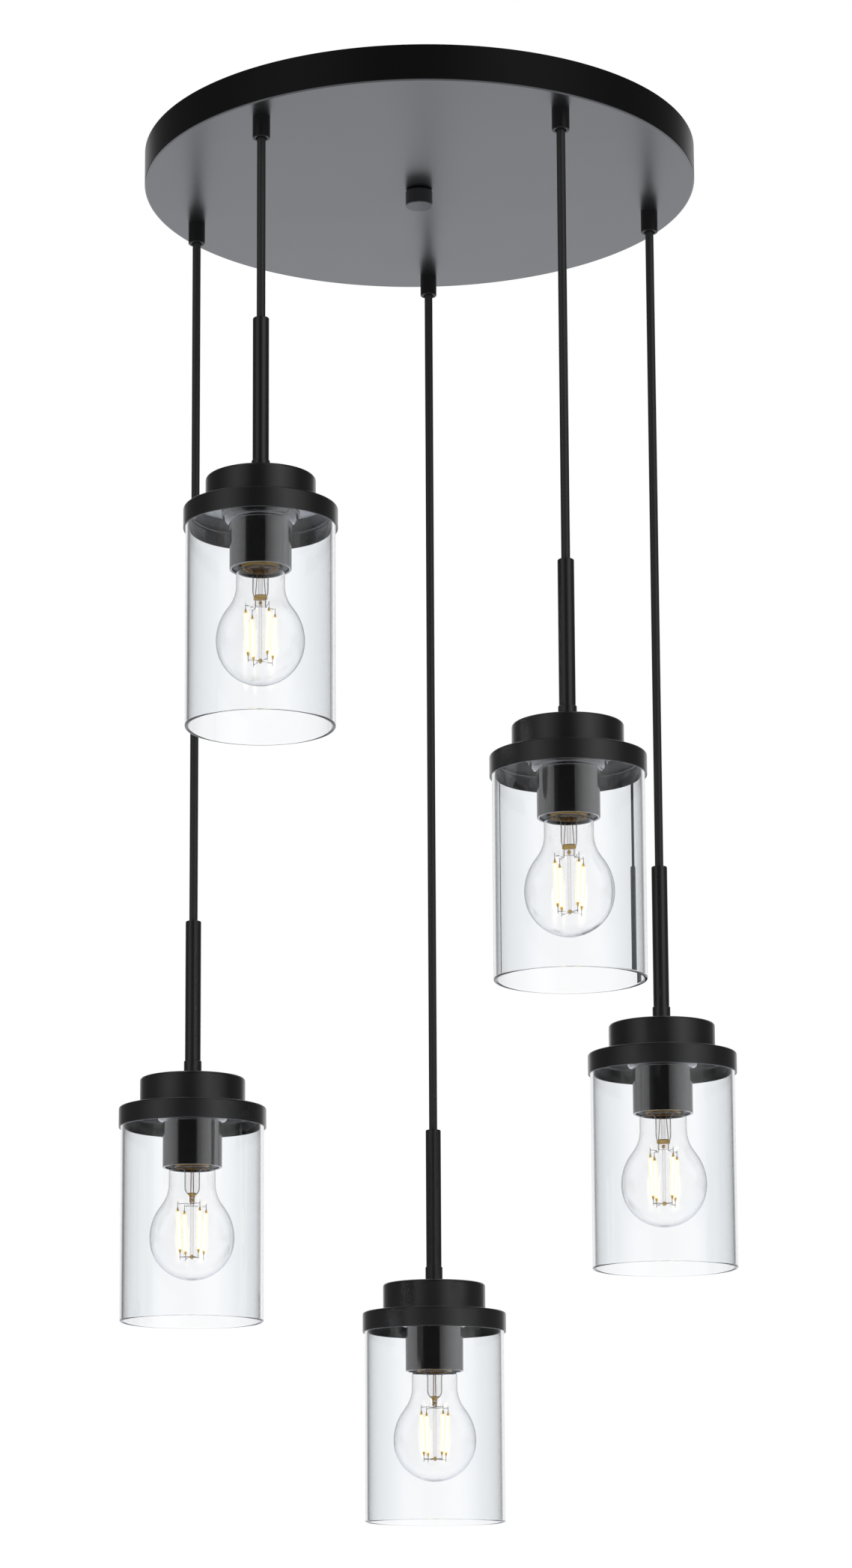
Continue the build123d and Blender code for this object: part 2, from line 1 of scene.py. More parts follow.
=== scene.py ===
import math
import bmesh
import bpy
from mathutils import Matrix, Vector


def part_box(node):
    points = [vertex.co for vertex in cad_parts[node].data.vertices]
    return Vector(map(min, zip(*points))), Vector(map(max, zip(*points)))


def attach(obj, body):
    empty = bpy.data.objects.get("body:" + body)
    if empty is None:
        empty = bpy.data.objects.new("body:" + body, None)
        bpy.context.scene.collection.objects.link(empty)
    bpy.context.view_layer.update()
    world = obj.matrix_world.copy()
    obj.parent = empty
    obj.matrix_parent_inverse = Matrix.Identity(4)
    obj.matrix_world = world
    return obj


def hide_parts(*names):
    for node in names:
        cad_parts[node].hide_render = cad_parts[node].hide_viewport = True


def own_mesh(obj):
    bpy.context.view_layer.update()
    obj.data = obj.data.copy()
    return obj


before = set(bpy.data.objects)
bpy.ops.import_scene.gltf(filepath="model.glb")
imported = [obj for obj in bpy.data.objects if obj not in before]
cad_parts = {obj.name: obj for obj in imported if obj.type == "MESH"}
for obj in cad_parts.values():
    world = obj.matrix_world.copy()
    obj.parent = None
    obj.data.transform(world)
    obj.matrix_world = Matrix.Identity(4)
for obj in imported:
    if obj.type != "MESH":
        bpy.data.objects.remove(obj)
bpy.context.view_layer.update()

# Sizes are in millimetres, and MM turns them into the frame's metres.
MM = 0.001

# Canopy
CANOPY_RADIUS = 198.0
CANOPY_HEIGHT = 25.5
CANOPY_WALL = 1.2
CANOPY_EDGE = 1.5
CANOPY_RIM_CHAMFER = 0.15
HOLE_RADIUS = 5.0
FINIAL_RADIUS = 9.75
FINIAL_HEIGHT = 12.0
FINIAL_SHOULDER = 2.0
FINIAL_BORE = 5.15
FINIAL_DEPTH = 8.0
GRIP_RADIUS = 6.1
GRIP_LENGTH = 15.5
GRIP_BORE = 3.3
GRIP_MOUTH = 4.0
GRIP_TAPER = 2.5
NIPPLE_RADIUS = 4.85
NIPPLE_RISE = 9.5
SMALL_CHAMFER = 0.5

# Cords
CORD_RADIUS = 3.0
CORD_SEAT = 6.0
CORD_STEPS = 24
UNSEEN_CORD = 2   # passes behind pendant 3's glass, where the photo doesn't show it

# Lamp, measured from the top of its cap
STEM_RADIUS = 5.6
STEM_TOP = 114.0
STEM_EDGE = 0.8
STEM_BORE = 2.4
STEM_CORD_BORE = 3.3
COUPLING_GAP = 0.05
COUPLING_RADIUS = 6.3
COUPLING_HEIGHT = 12.5
COUPLING_FLOOR = 2.0
COUPLING_CHAMFER = 0.25
NIPPLE_END = 6.0
COUPLING_SCREW_RADIUS = 1.3
COUPLING_SCREW_LEVEL = 4.0
COUPLING_SCREW_AZIMUTH = 236.0
COUPLING_SCREW_DEPTH = 1.2
COUPLING_SCREW_SOCKET = 0.75
COUPLING_SCREW_FACE = 1.15
CUP_NUT_RADIUS = 8.0
CUP_NUT_HEIGHT = 4.0
CUP_RADIUS = 37.4
CUP_HEIGHT = 21.0
CUP_WALL = 1.5
CUP_EDGE = 2.0
CUP_INNER_EDGE = 0.5
COVER_RADIUS = 52.4
COVER_HEIGHT = 14.5
COVER_PLATE = 1.5
COVER_WALL = 1.2
COVER_EDGE = 1.5
COVER_LIP = 0.4
SHADE_RADIUS = 50.8
SHADE_WALL = 2.4
SHADE_LENGTH = 138.0
SHADE_SHOULDER = 4.0
SHADE_RIM = 1.1
SHADE_SEAT = 0.5
SHADE_HOLE = 19.8
SLEEVE_RADIUS = 21.0
SLEEVE_BORE = 19.3
SLEEVE_PROJECTION = 28.5
FLANGE_RADIUS = 26.6
FLANGE_HEIGHT = 1.2
FLANGE_SHOULDER = 5.0
SLEEVE_EDGE = 0.3
FLANGE_EDGE = 0.2
HOLDER_RADIUS = 19.0
HOLDER_RECESS = 1.2
HOLDER_BORE = 14.4
HOLDER_CHAMFER = 1.2
HOLDER_EDGE = 0.3
CONTACT_THICKNESS = 1.0
CONTACT_RADIUS = 4.0
SHELL_RADIUS = 14.1
SHELL_INNER = 13.5
SHELL_LENGTH = 22.0
SHELL_RIPPLE = 0.3
SHELL_STEPS = 42

# Bulb, measured from the tip of its base
BULB_INSERTION = 25.9
BULB_RADIUS = 30.0
BULB_CROWN = 36.0
BULB_LENGTH = 106.0
BULB_WALL = 0.8
BULB_NECK = 16.5
BULB_SHOULDER = 3.0
BULB_CONE = 35.0
BULB_BLEND = 26.0
BASE_HEIGHT = 26.0
BASE_RADIUS = 13.05
BASE_THREAD = 0.65
BASE_PITCH = 3.63
BASE_TURNS = 5
BASE_SHEET = 0.45
BASE_FOOT = 3.5
THREAD_STEPS = 8
INSULATOR_TOP = 3.45
TIP_CONTACT = 1.0
STEM_GLASS_RADIUS = 5.5
STEM_GLASS_END = 46.0
FLARE_SPREAD = 5.2
FLARE_LENGTH = 7.0
FLARE_STEPS = 8
EXHAUST_RADIUS = 1.3
PINCH_HALF_WIDTH = 4.3
PINCH_HALF_DEPTH = 1.6
PINCH_END = 51.6
POST_RADIUS = 1.1
UPPER_CROSS = 52.6
LOWER_CROSS = 89.9
FILAMENT_TOP = 57.0
FILAMENT_BOTTOM = 85.5
FILAMENT_TOP_CIRCLE = 11.5
FILAMENT_BOTTOM_CIRCLE = 9.4
FILAMENT_RADIUS = 0.95
# Radius of the see-through shell of painted glow round each filament.
FILAMENT_HALO_RADIUS = 1.75
FILAMENT_AZIMUTH = 34.0
TIP_LENGTH = 3.2
TIP_RADIUS = 0.95
WIRE_RADIUS = 0.18
LEAD_RADIUS = 0.24
LEAD_SPREAD = 3.4
BAR_REACH = 1.5
WIRE_OVERLAP = 0.4
BEAD_RADIUS = 1.5
PINCH_TURNS = (45.0, 45.0, -45.0, -45.0, -45.0)   # of each bulb's pressed glass, from its filaments

COVER_UNDER = -CUP_HEIGHT - COVER_PLATE
LIP = -CUP_HEIGHT - COVER_HEIGHT
SHADE_TOP = COVER_UNDER - SHADE_SEAT
FLANGE_TOP = SHADE_TOP - SHADE_WALL
SLEEVE_END = LIP - SLEEVE_PROJECTION
HOLDER_END = SLEEVE_END + HOLDER_RECESS
BULB_TIP = SLEEVE_END + BULB_INSERTION

# Floor, in metres
FLOOR_REACH = 6.0
FLOOR_LEVEL = -2.2

# Colours, as linear values
SATIN_BLACK = (0.0035, 0.0035, 0.0037, 1)
SLEEVE_BLACK = (0.004, 0.004, 0.0043, 1)
CORD_BLACK = (0.006, 0.006, 0.006, 1)
HOLDER_GREY = (0.035, 0.036, 0.038, 1)
BRASS = (0.80, 0.56, 0.22, 1)
# The bulb base's brass: a warmer, less metallic copy of the socket's brass, with painted warm light in
# its colour.
BRASS_WITH_PAINTED_WARM_LIGHT = (0.80, 0.50, 0.12, 1)
COPPER = (0.80, 0.38, 0.18, 1)
DARK_NICKEL = (0.10, 0.09, 0.08, 1)
GOLD = (1.0, 0.70, 0.16, 1)
ZINC = (0.60, 0.61, 0.62, 1)
IVORY = (0.80, 0.77, 0.68, 1)
GROUND_GREEN = (0.03, 0.22, 0.06, 1)
INSULATOR_BLACK = (0.006, 0.006, 0.007, 1)
FILAMENT_BODY = (0.9, 0.72, 0.35, 1)
FLOOR_GREY = (0.93, 0.93, 0.93, 1)

# Paint
PAINT_GRAIN = 900.0
FAR_WALL_FACING = -0.35   # a cap's wall is the far one where its normal, turned to the ray, has a lower Y

# Sockets of a Mix node that is set to colour
MIX_A, MIX_B, MIX_RESULT = 6, 7, 2


# Node helpers
def node(tree, kind, **values):
    """A shader node with some of its inputs set by name."""
    made = tree.nodes.new(kind)
    for name, value in values.items():
        if name in ("operation", "data_type", "interpolation_type"):
            setattr(made, name, value)
        else:
            made.inputs[name.replace("_", " ")].default_value = value
    return made


def math_node(tree, operation, value=None, place=1):
    """A Math node, with a plain value in one of its inputs."""
    made = node(tree, "ShaderNodeMath", operation=operation)
    if value is not None:
        made.inputs[place].default_value = value
    return made


def colour_ramp(tree, source, stops):
    """The colours of a ramp over a value from 0 to 1. Each stop is a place and a colour."""
    ramp = tree.nodes.new("ShaderNodeValToRGB")
    marks = ramp.color_ramp.elements
    marks.remove(marks[-1])
    for index, (place, colour) in enumerate(stops):
        mark = marks.new(place) if index else marks[0]
        mark.position = place
        mark.color = colour
    tree.links.new(source, ramp.inputs[0])
    return ramp.outputs["Color"]


def surface_texture():
    """A node group for painted and moulded surfaces: a fine grain with soft patches.

    It gives a roughness that wanders about its base, and a height for a Bump node."""
    group = bpy.data.node_groups.new("fine_surface", "ShaderNodeTree")
    face = group.interface
    for name, default in (("Grain Size", 900.0), ("Roughness", 0.4), ("Variation", 0.05)):
        socket = face.new_socket(name=name, in_out="INPUT", socket_type="NodeSocketFloat")
        socket.default_value = default
    face.new_socket(name="Roughness", in_out="OUTPUT", socket_type="NodeSocketFloat")
    face.new_socket(name="Height", in_out="OUTPUT", socket_type="NodeSocketFloat")
    start = group.nodes.new("NodeGroupInput")
    end = group.nodes.new("NodeGroupOutput")
    place = group.nodes.new("ShaderNodeTexCoord")
    grain = node(group, "ShaderNodeTexNoise", Detail=3.0, Roughness=0.6)
    patch = node(group, "ShaderNodeTexNoise", Scale=14.0, Detail=2.0)
    centred = math_node(group, "SUBTRACT", 0.5)
    wander = math_node(group, "MULTIPLY_ADD")
    link = group.links.new
    link(place.outputs["Object"], grain.inputs["Vector"])
    link(place.outputs["Object"], patch.inputs["Vector"])
    link(start.outputs["Grain Size"], grain.inputs["Scale"])
    link(patch.outputs["Fac"], centred.inputs[0])
    link(centred.outputs[0], wander.inputs[0])
    link(start.outputs["Variation"], wander.inputs[1])
    link(start.outputs["Roughness"], wander.inputs[2])
    link(wander.outputs[0], end.inputs["Roughness"])
    link(grain.outputs["Fac"], end.inputs["Height"])
    return group


FINE_SURFACE = surface_texture()


def principled(name):
    """A new material with its Principled BSDF."""
    material = bpy.data.materials.new(name)
    material.use_nodes = True
    return material, material.node_tree.nodes["Principled BSDF"]


def textured(name, colour, roughness, variation, grain_size, bump, metallic=0.0, specular=0.5):
    """A painted, moulded or metal finish on the fine surface texture."""
    material, shader = principled(name)
    tree = material.node_tree
    shader.inputs["Base Color"].default_value = colour
    shader.inputs["Metallic"].default_value = metallic
    shader.inputs["Specular IOR Level"].default_value = specular
    group = tree.nodes.new("ShaderNodeGroup")
    group.node_tree = FINE_SURFACE
    group.inputs["Grain Size"].default_value = grain_size
    group.inputs["Roughness"].default_value = roughness
    group.inputs["Variation"].default_value = variation
    relief = node(tree, "ShaderNodeBump", Strength=bump, Distance=0.0002)
    link = tree.links.new
    link(group.outputs["Roughness"], shader.inputs["Roughness"])
    link(group.outputs["Height"], relief.inputs["Height"])
    link(relief.outputs["Normal"], shader.inputs["Normal"])
    return material, shader


def paint(name, colour, roughness, coat, coat_roughness, bump, specular):
    """Black paint: a dark base under a clear coat."""
    material, shader = textured(name, colour, roughness, 0.06, PAINT_GRAIN, bump, specular=specular)
    shader.inputs["Coat Weight"].default_value = coat
    shader.inputs["Coat Roughness"].default_value = coat_roughness
    return material


def see_through(material, shader, share):
    """Mixes a shader with a transparent one, by a share from 0, solid, to 1, unseen."""
    tree = material.node_tree
    unseen = tree.nodes.new("ShaderNodeBsdfTransparent")
    final = tree.nodes.new("ShaderNodeMixShader")
    link = tree.links.new
    link(share, final.inputs[0])
    link(shader.outputs[0], final.inputs[1])
    link(unseen.outputs[0], final.inputs[2])
    link(final.outputs[0], tree.nodes["Material Output"].inputs["Surface"])


def cap_paint(name):
    """Satin paint whose near and side walls let reflections through, above all those in the sleeve.

    The wall on the side away from the photo's camera stays solid to them."""
    material, shader = textured(name, SATIN_BLACK, 0.27, 0.03, PAINT_GRAIN, 0.05, specular=0.7)
    tree = material.node_tree
    path = tree.nodes.new("ShaderNodeLightPath")
    side = tree.nodes.new("ShaderNodeNewGeometry")
    parts = tree.nodes.new("ShaderNodeSeparateXYZ")
    near = math_node(tree, "GREATER_THAN", FAR_WALL_FACING)
    shines = math_node(tree, "GREATER_THAN", 0.5)
    clear = math_node(tree, "MULTIPLY")
    link = tree.links.new
    link(path.outputs["Glossy Depth"], shines.inputs[0])
    link(side.outputs["Normal"], parts.inputs[0])
    link(parts.outputs["Y"], near.inputs[0])
    link(shines.outputs[0], clear.inputs[0])
    link(near.outputs[0], clear.inputs[1])
    see_through(material, shader, clear.outputs[0])
    return material


def facing_ramp(tree, stops):
    """A colour ramp over how far a surface turns from the eye, from 0, face on, to 1, edge on."""
    facing = node(tree, "ShaderNodeLayerWeight", Blend=0.5)
    return colour_ramp(tree, facing.outputs["Facing"], stops)


def glass_with_painted_edge_shade(name, stops):
    """Clear glass whose tint follows how far it turns from the eye, darkening towards its edges as
    painted shade.
    """
    material, shader = principled(name)
    tree = material.node_tree
    shader.inputs["Roughness"].default_value = 0.0
    shader.inputs["IOR"].default_value = 1.5
    shader.inputs["Transmission Weight"].default_value = 1.0
    tree.links.new(facing_ramp(tree, stops), shader.inputs["Base Color"])
    return material


def thin_glass_with_painted_edge_lines(name, colour, edge, middle):
    """Thin inner glass, almost unseen face on, that darkens to a line at its edges. The line is painted
    shade, where real thin glass darkens by refraction.
    """
    material, shader = principled(name)
    tree = material.node_tree
    shader.inputs["Base Color"].default_value = colour
    shader.inputs["Roughness"].default_value = 0.05
    shader.inputs["Specular IOR Level"].default_value = 0.5
    cover = facing_ramp(tree, [
        (turned, (level, level, level, 1))
        for turned, level in ((0.0, middle), (0.4, middle), (0.65, edge * 0.6), (0.9, edge))])
    tree.links.new(cover, shader.inputs["Alpha"])
    return material


def glowing(name, colour, strength, cover=1.0):
    """A lit part of a filament, with a slight mottle in its glow. The cover is its opacity; below 1 it
    makes the see-through painted glow round a filament.
    """
    material, shader = principled(name)
    tree = material.node_tree
    shader.inputs["Base Color"].default_value = FILAMENT_BODY
    shader.inputs["Roughness"].default_value = 0.6
    shader.inputs["Alpha"].default_value = cover
    shader.inputs["Emission Strength"].default_value = strength
    place = tree.nodes.new("ShaderNodeTexCoord")
    grain = node(tree, "ShaderNodeTexNoise", Scale=700.0, Detail=1.0)
    dim = tuple(0.92 * part for part in colour[:3]) + (1,)
    tone = colour_ramp(tree, grain.outputs["Fac"], [(0.3, dim), (0.7, colour)])
    tree.links.new(place.outputs["Object"], grain.inputs["Vector"])
    tree.links.new(tone, shader.inputs["Emission Color"])
    return material


SATIN_PAINT = paint("satin_black_paint", SATIN_BLACK, 0.27, 0.0, 0.35, bump=0.05, specular=0.7)
CAP_PAINT = cap_paint("cap_satin_black")
GRIP_PAINT = paint("grip_black_paint", SATIN_BLACK, 0.36, 0.0, 0.35, bump=0.06, specular=0.25)
CANOPY_SKIRT = paint("canopy_skirt_black", SATIN_BLACK, 0.32, 0.0, 0.3, bump=0.06, specular=0.1)
CANOPY_FACE = paint("canopy_face_black", SATIN_BLACK, 0.3, 0.35, 0.28, bump=0.06, specular=1.0)
SLEEVE_PAINT = paint("smooth_black_paint", SLEEVE_BLACK, 0.1, 1.0, 0.04, bump=0.01, specular=1.0)
CORD_SHEATH = textured("cord_sheath", CORD_BLACK, 0.42, 0.08, 1400.0, 0.1, specular=0.6)[0]
HOLDER_RESIN = textured("holder_resin", HOLDER_GREY, 0.38, 0.08, 1200.0, 0.1)[0]
BRASS_SHEET = textured("thin_brass", BRASS, 0.28, 0.15, 700.0, 0.08, metallic=1.0)[0]
# The bulb base: brass with painted warm light.
BASE_BRASS_PAINTED_LIT = textured("base_brass_painted_warm_light", BRASS_WITH_PAINTED_WARM_LIGHT, 0.42, 0.15, 700.0, 0.08, metallic=0.2)[0]
NICKEL_WIRE = textured("nickel_wire", DARK_NICKEL, 0.4, 0.1, 3000.0, 0.05, metallic=0.7)[0]
COPPER_LEAD = textured("copper_lead", COPPER, 0.3, 0.1, 3000.0, 0.05, metallic=0.9)[0]
GOLD_TIP = textured("gold_tip", GOLD, 0.35, 0.1, 3000.0, 0.05)[0]
ZINC_PLATE = textured("zinc_plate", ZINC, 0.34, 0.16, 500.0, 0.15, metallic=1.0)[0]
IVORY_PLASTIC = textured("ivory_plastic", IVORY, 0.35, 0.06, 1000.0, 0.08)[0]
GREEN_SCREW = textured("green_screw", GROUND_GREEN, 0.35, 0.1, 1000.0, 0.08, metallic=0.4)[0]
INSULATOR_GLASS = textured("insulator_black", INSULATOR_BLACK, 0.12, 0.05, 600.0, 0.03)[0]
# Both glasses' tints darken towards their edges, which is painted shade; the shade glass's tint is also
# faintly cool throughout.
SHADE_GLASS = glass_with_painted_edge_shade("shade_glass", [
    (0.0, (0.99, 0.993, 1.0, 1)), (0.06, (0.955, 0.965, 0.975, 1)), (0.25, (0.90, 0.915, 0.93, 1)),
    (0.6, (0.91, 0.925, 0.94, 1)), (1.0, (0.80, 0.82, 0.84, 1))])
BULB_GLASS = glass_with_painted_edge_shade("bulb_glass", [
    (0.0, (1.0, 1.0, 1.0, 1)), (0.5, (0.985, 0.985, 0.985, 1)), (1.0, (0.85, 0.86, 0.87, 1))])
# The stem glass and the post show their colours mostly as painted dark lines at their edges; the beads
# keep most of their amber face on.
STEM_GLASS = thin_glass_with_painted_edge_lines("stem_glass", (0.07, 0.06, 0.045, 1), 1.0, 0.07)
POST_GLASS = thin_glass_with_painted_edge_lines("post_glass", (0.30, 0.20, 0.08, 1), 0.75, 0.06)
BEAD_GLASS = thin_glass_with_painted_edge_lines("bead_glass", (1.0, 0.66, 0.14, 1), 1.0, 0.75)
FILAMENT_LIGHT = glowing("filament_light", (1.0, 0.97, 0.88, 1), 1.9)
# A see-through warm shell round each filament: painted glow.
FILAMENT_GLOW_HALO = glowing("filament_painted_glow", (1.0, 0.80, 0.42, 1), 1.0, cover=0.42)


# Mesh helpers
def arc(centre_r, centre_z, radius, start, end, steps=6):
    """Points of an arc in a profile, from one angle to another in degrees, both ends included."""
    points = []
    for step in range(steps + 1):
        angle = math.radians(start + (end - start) * step / steps)
        points.append((centre_r + radius * math.cos(angle), centre_z + radius * math.sin(angle)))
    return points


def held(profile, closed, longest=1.2, inset=0.1):
    """The profile with a point near both ends of each long straight stretch.

    They hold the shading of the stretch flat, so that glass there refracts and reflects as it should."""
    points = []
    afters = profile[1:] + (profile[:1] if closed else [])
    for here, after in zip(profile, afters):
        points.append(here)
        length = math.dist(here, after)
        if length > longest:
            for share in (inset / length, 1 - inset / length):
                points.append(tuple(a + (b - a) * share for a, b in zip(here, after)))
    return points if closed else points + profile[-1:]


def lathe(mesh, profile, x, y, z, sides, closed=True, hold=True):
    """Turns a profile of (radius, height) points, in millimetres, about the upright axis at x, y.

    The heights start from z. Long stretches of the profile are held, unless that is turned off."""
    if hold:
        profile = held(profile, closed)
    rings = []
    for radius, height in profile:
        level = z + height * MM
        if radius < 1e-6:
            rings.append([mesh.verts.new((x, y, level))])
            continue
        ring = []
        for side in range(sides):
            angle = 2 * math.pi * side / sides
            ring.append(mesh.verts.new((
                x + radius * MM * math.cos(angle), y + radius * MM * math.sin(angle), level)))
        rings.append(ring)
    pairs = list(zip(rings, rings[1:]))
    if closed:
        pairs.append((rings[-1], rings[0]))
    for lower, upper in pairs:
        if len(lower) == 1 and len(upper) == 1:
            continue
        for side in range(sides):
            after = (side + 1) % sides
            if len(lower) == 1:
                mesh.faces.new((lower[0], upper[side], upper[after]))
            elif len(upper) == 1:
                mesh.faces.new((lower[side], lower[after], upper[0]))
            else:
                mesh.faces.new((lower[side], lower[after], upper[after], upper[side]))


def skin(mesh, rings):
    """Faces from each ring of points to the next."""
    for first, second in zip(rings, rings[1:]):
        for side in range(len(first)):
            after = (side + 1) % len(first)
            mesh.faces.new((first[side], first[after], second[after], second[side]))


def closed_skin(mesh, rings):
    """Faces from each ring of points to the next, and a flat one over the first and the last."""
    skin(mesh, rings)
    mesh.faces.new(rings[0])
    mesh.faces.new(rings[-1])


def tube(mesh, points, radius, sides=8):
    """A round wire along points in metres, with flat ends. The radius is in metres."""
    rings = []
    side_way = None
    for index, point in enumerate(points):
        before = points[max(index - 1, 0)]
        after = points[min(index + 1, len(points) - 1)]
        way = (after - before).normalized()
        if side_way is None:
            side_way = way.orthogonal().normalized()
        side_way = (side_way - way * side_way.dot(way)).normalized()
        third = way.cross(side_way)
        rings.append([
            mesh.verts.new(point + (side_way * math.cos(turn) + third * math.sin(turn)) * radius)
            for turn in (2 * math.pi * side / sides for side in range(sides))])
    closed_skin(mesh, rings)


def turned_rings(mesh, start, way, stations, sides):
    """Rings about an axis that leaves a start.

    A station is a distance along the axis, and the radius there, in millimetres."""
    side_way = way.orthogonal().normalized()
    third = way.cross(side_way)
    rings = []
    for distance, radius in stations:
        middle = start + way * (distance * MM)
        ring = []
        for side in range(sides):
            angle = 2 * math.pi * side / sides
            ring.append(mesh.verts.new(
                middle + (side_way * math.cos(angle) + third * math.sin(angle)) * (radius * MM)))
        rings.append(ring)
    return rings


def turned_washer(mesh, start, way, stations, sides=20):
    """A ring turned about an axis, whose outline closes on itself."""
    rings = turned_rings(mesh, start, way, stations, sides)
    skin(mesh, rings + rings[:1])


def turned_rod(mesh, start, way, stations, sides=14):
    """A rod turned about an axis, with flat ends."""
    closed_skin(mesh, turned_rings(mesh, start, way, stations, sides))


def finish_piece(mesh, name, material, body, replaced=(), sharp=35.0):
    """Makes an object of a mesh, shaded smooth up to a sharp angle in degrees, riding on its body."""
    bmesh.ops.recalc_face_normals(mesh, faces=mesh.faces)
    data = bpy.data.meshes.new(name)
    mesh.to_mesh(data)
    mesh.free()
    data.polygons.foreach_set("use_smooth", [True] * len(data.polygons))
    data.set_sharp_from_angle(angle=math.radians(sharp))
    data.materials.append(material)
    piece = bpy.data.objects.new(name, data)
    bpy.context.scene.collection.objects.link(piece)
    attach(piece, body)
    if replaced:
        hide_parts(*replaced)
    return piece


def axis_of(name):
    """The place in plan of an upright piece's axis, and its lowest and highest level."""
    low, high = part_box(name)
    return (low[0] + high[0]) / 2, (low[1] + high[1]) / 2, low[2], high[2]


PENDANTS = range(1, 6)
SPOTS = [axis_of(f"hanging_cord_{number}") for number in PENDANTS]


# Canopy and what is fixed to it
def make_canopy():
    """The pan, with a rounded lower edge inside and out, and its two paints: the skirt's and the face's.

    The grips' nipples run through its face."""
    mesh = bmesh.new()
    inner_edge = CANOPY_EDGE - CANOPY_WALL
    floor = CANOPY_WALL - CANOPY_HEIGHT
    wall = CANOPY_RADIUS - CANOPY_WALL
    chamfer = CANOPY_RIM_CHAMFER
    profile = [(HOLE_RADIUS, -CANOPY_HEIGHT)]
    profile += arc(CANOPY_RADIUS - CANOPY_EDGE, CANOPY_EDGE - CANOPY_HEIGHT, CANOPY_EDGE, -90, 0)
    profile += [(CANOPY_RADIUS, -chamfer), (CANOPY_RADIUS - chamfer, 0)]
    profile += [(wall + chamfer, 0), (wall, -chamfer)]
    profile += arc(wall - inner_edge, floor + inner_edge, inner_edge, 0, -90, 3)
    profile += [(HOLE_RADIUS, floor)]
    lathe(mesh, profile, 0, 0, 0, 256)
    pan = finish_piece(mesh, "canopy", CANOPY_SKIRT, "canopy", ["canopy_pan"])
    pan.data.materials.append(CANOPY_FACE)
    for face in pan.data.polygons:
        looks_down = face.normal.z < -0.6
        if looks_down:
            face.material_index = 1


def make_finial():
    """The turned nut at the middle of the canopy."""
    mesh = bmesh.new()
    top = -CANOPY_HEIGHT
    bottom = top - FINIAL_HEIGHT
    profile = [(0, bottom), (FINIAL_RADIUS - SMALL_CHAMFER, bottom)]
    profile += [(FINIAL_RADIUS, bottom + SMALL_CHAMFER)]
    profile += arc(FINIAL_RADIUS - FINIAL_SHOULDER, top - FINIAL_SHOULDER, FINIAL_SHOULDER, 0, 90)
    profile += [(FINIAL_BORE, top), (FINIAL_BORE, top - FINIAL_DEPTH), (0, top - FINIAL_DEPTH)]
    lathe(mesh, profile, 0, 0, 0, 96, closed=False)
    finish_piece(mesh, "finial_nut", SATIN_PAINT, "finial", ["finial"])


def make_grips():
    """The five cord grips, with their nipples through the canopy."""
    mesh = bmesh.new()
    bottom = -CANOPY_HEIGHT - GRIP_LENGTH
    top = -CANOPY_HEIGHT + NIPPLE_RISE
    for x, y, _, _ in SPOTS:
        lathe(mesh, [
            (GRIP_BORE, top), (GRIP_BORE, bottom + GRIP_TAPER), (GRIP_MOUTH, bottom),
            (GRIP_RADIUS - SMALL_CHAMFER, bottom), (GRIP_RADIUS, bottom + SMALL_CHAMFER),
            (GRIP_RADIUS, -CANOPY_HEIGHT), (NIPPLE_RADIUS, -CANOPY_HEIGHT), (NIPPLE_RADIUS, top),
        ], x, y, 0, 64)
    finish_piece(mesh, "grips", GRIP_PAINT, "canopy", ["cord_grips"])


def make_cord(number, x, y, low, high):
    """A hanging cord, from the point where it bends in its grip down into its stem."""
    mesh = bmesh.new()
    length = high - low
    levels = [high - length * step / CORD_STEPS for step in range(CORD_STEPS + 1)]
    profile = [(0, 0)] + [(CORD_RADIUS, (level - high) / MM) for level in levels] + [(0, -length / MM)]
    lathe(mesh, profile, x, y, high, 32, closed=False, hold=False)
    cord = finish_piece(mesh, f"cord_{number}", CORD_SHEATH, f"cord_{number}",
                        [f"hanging_cord_{number}"])
    if number == UNSEEN_CORD:
        cord.visible_transmission = False
    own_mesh(cord)


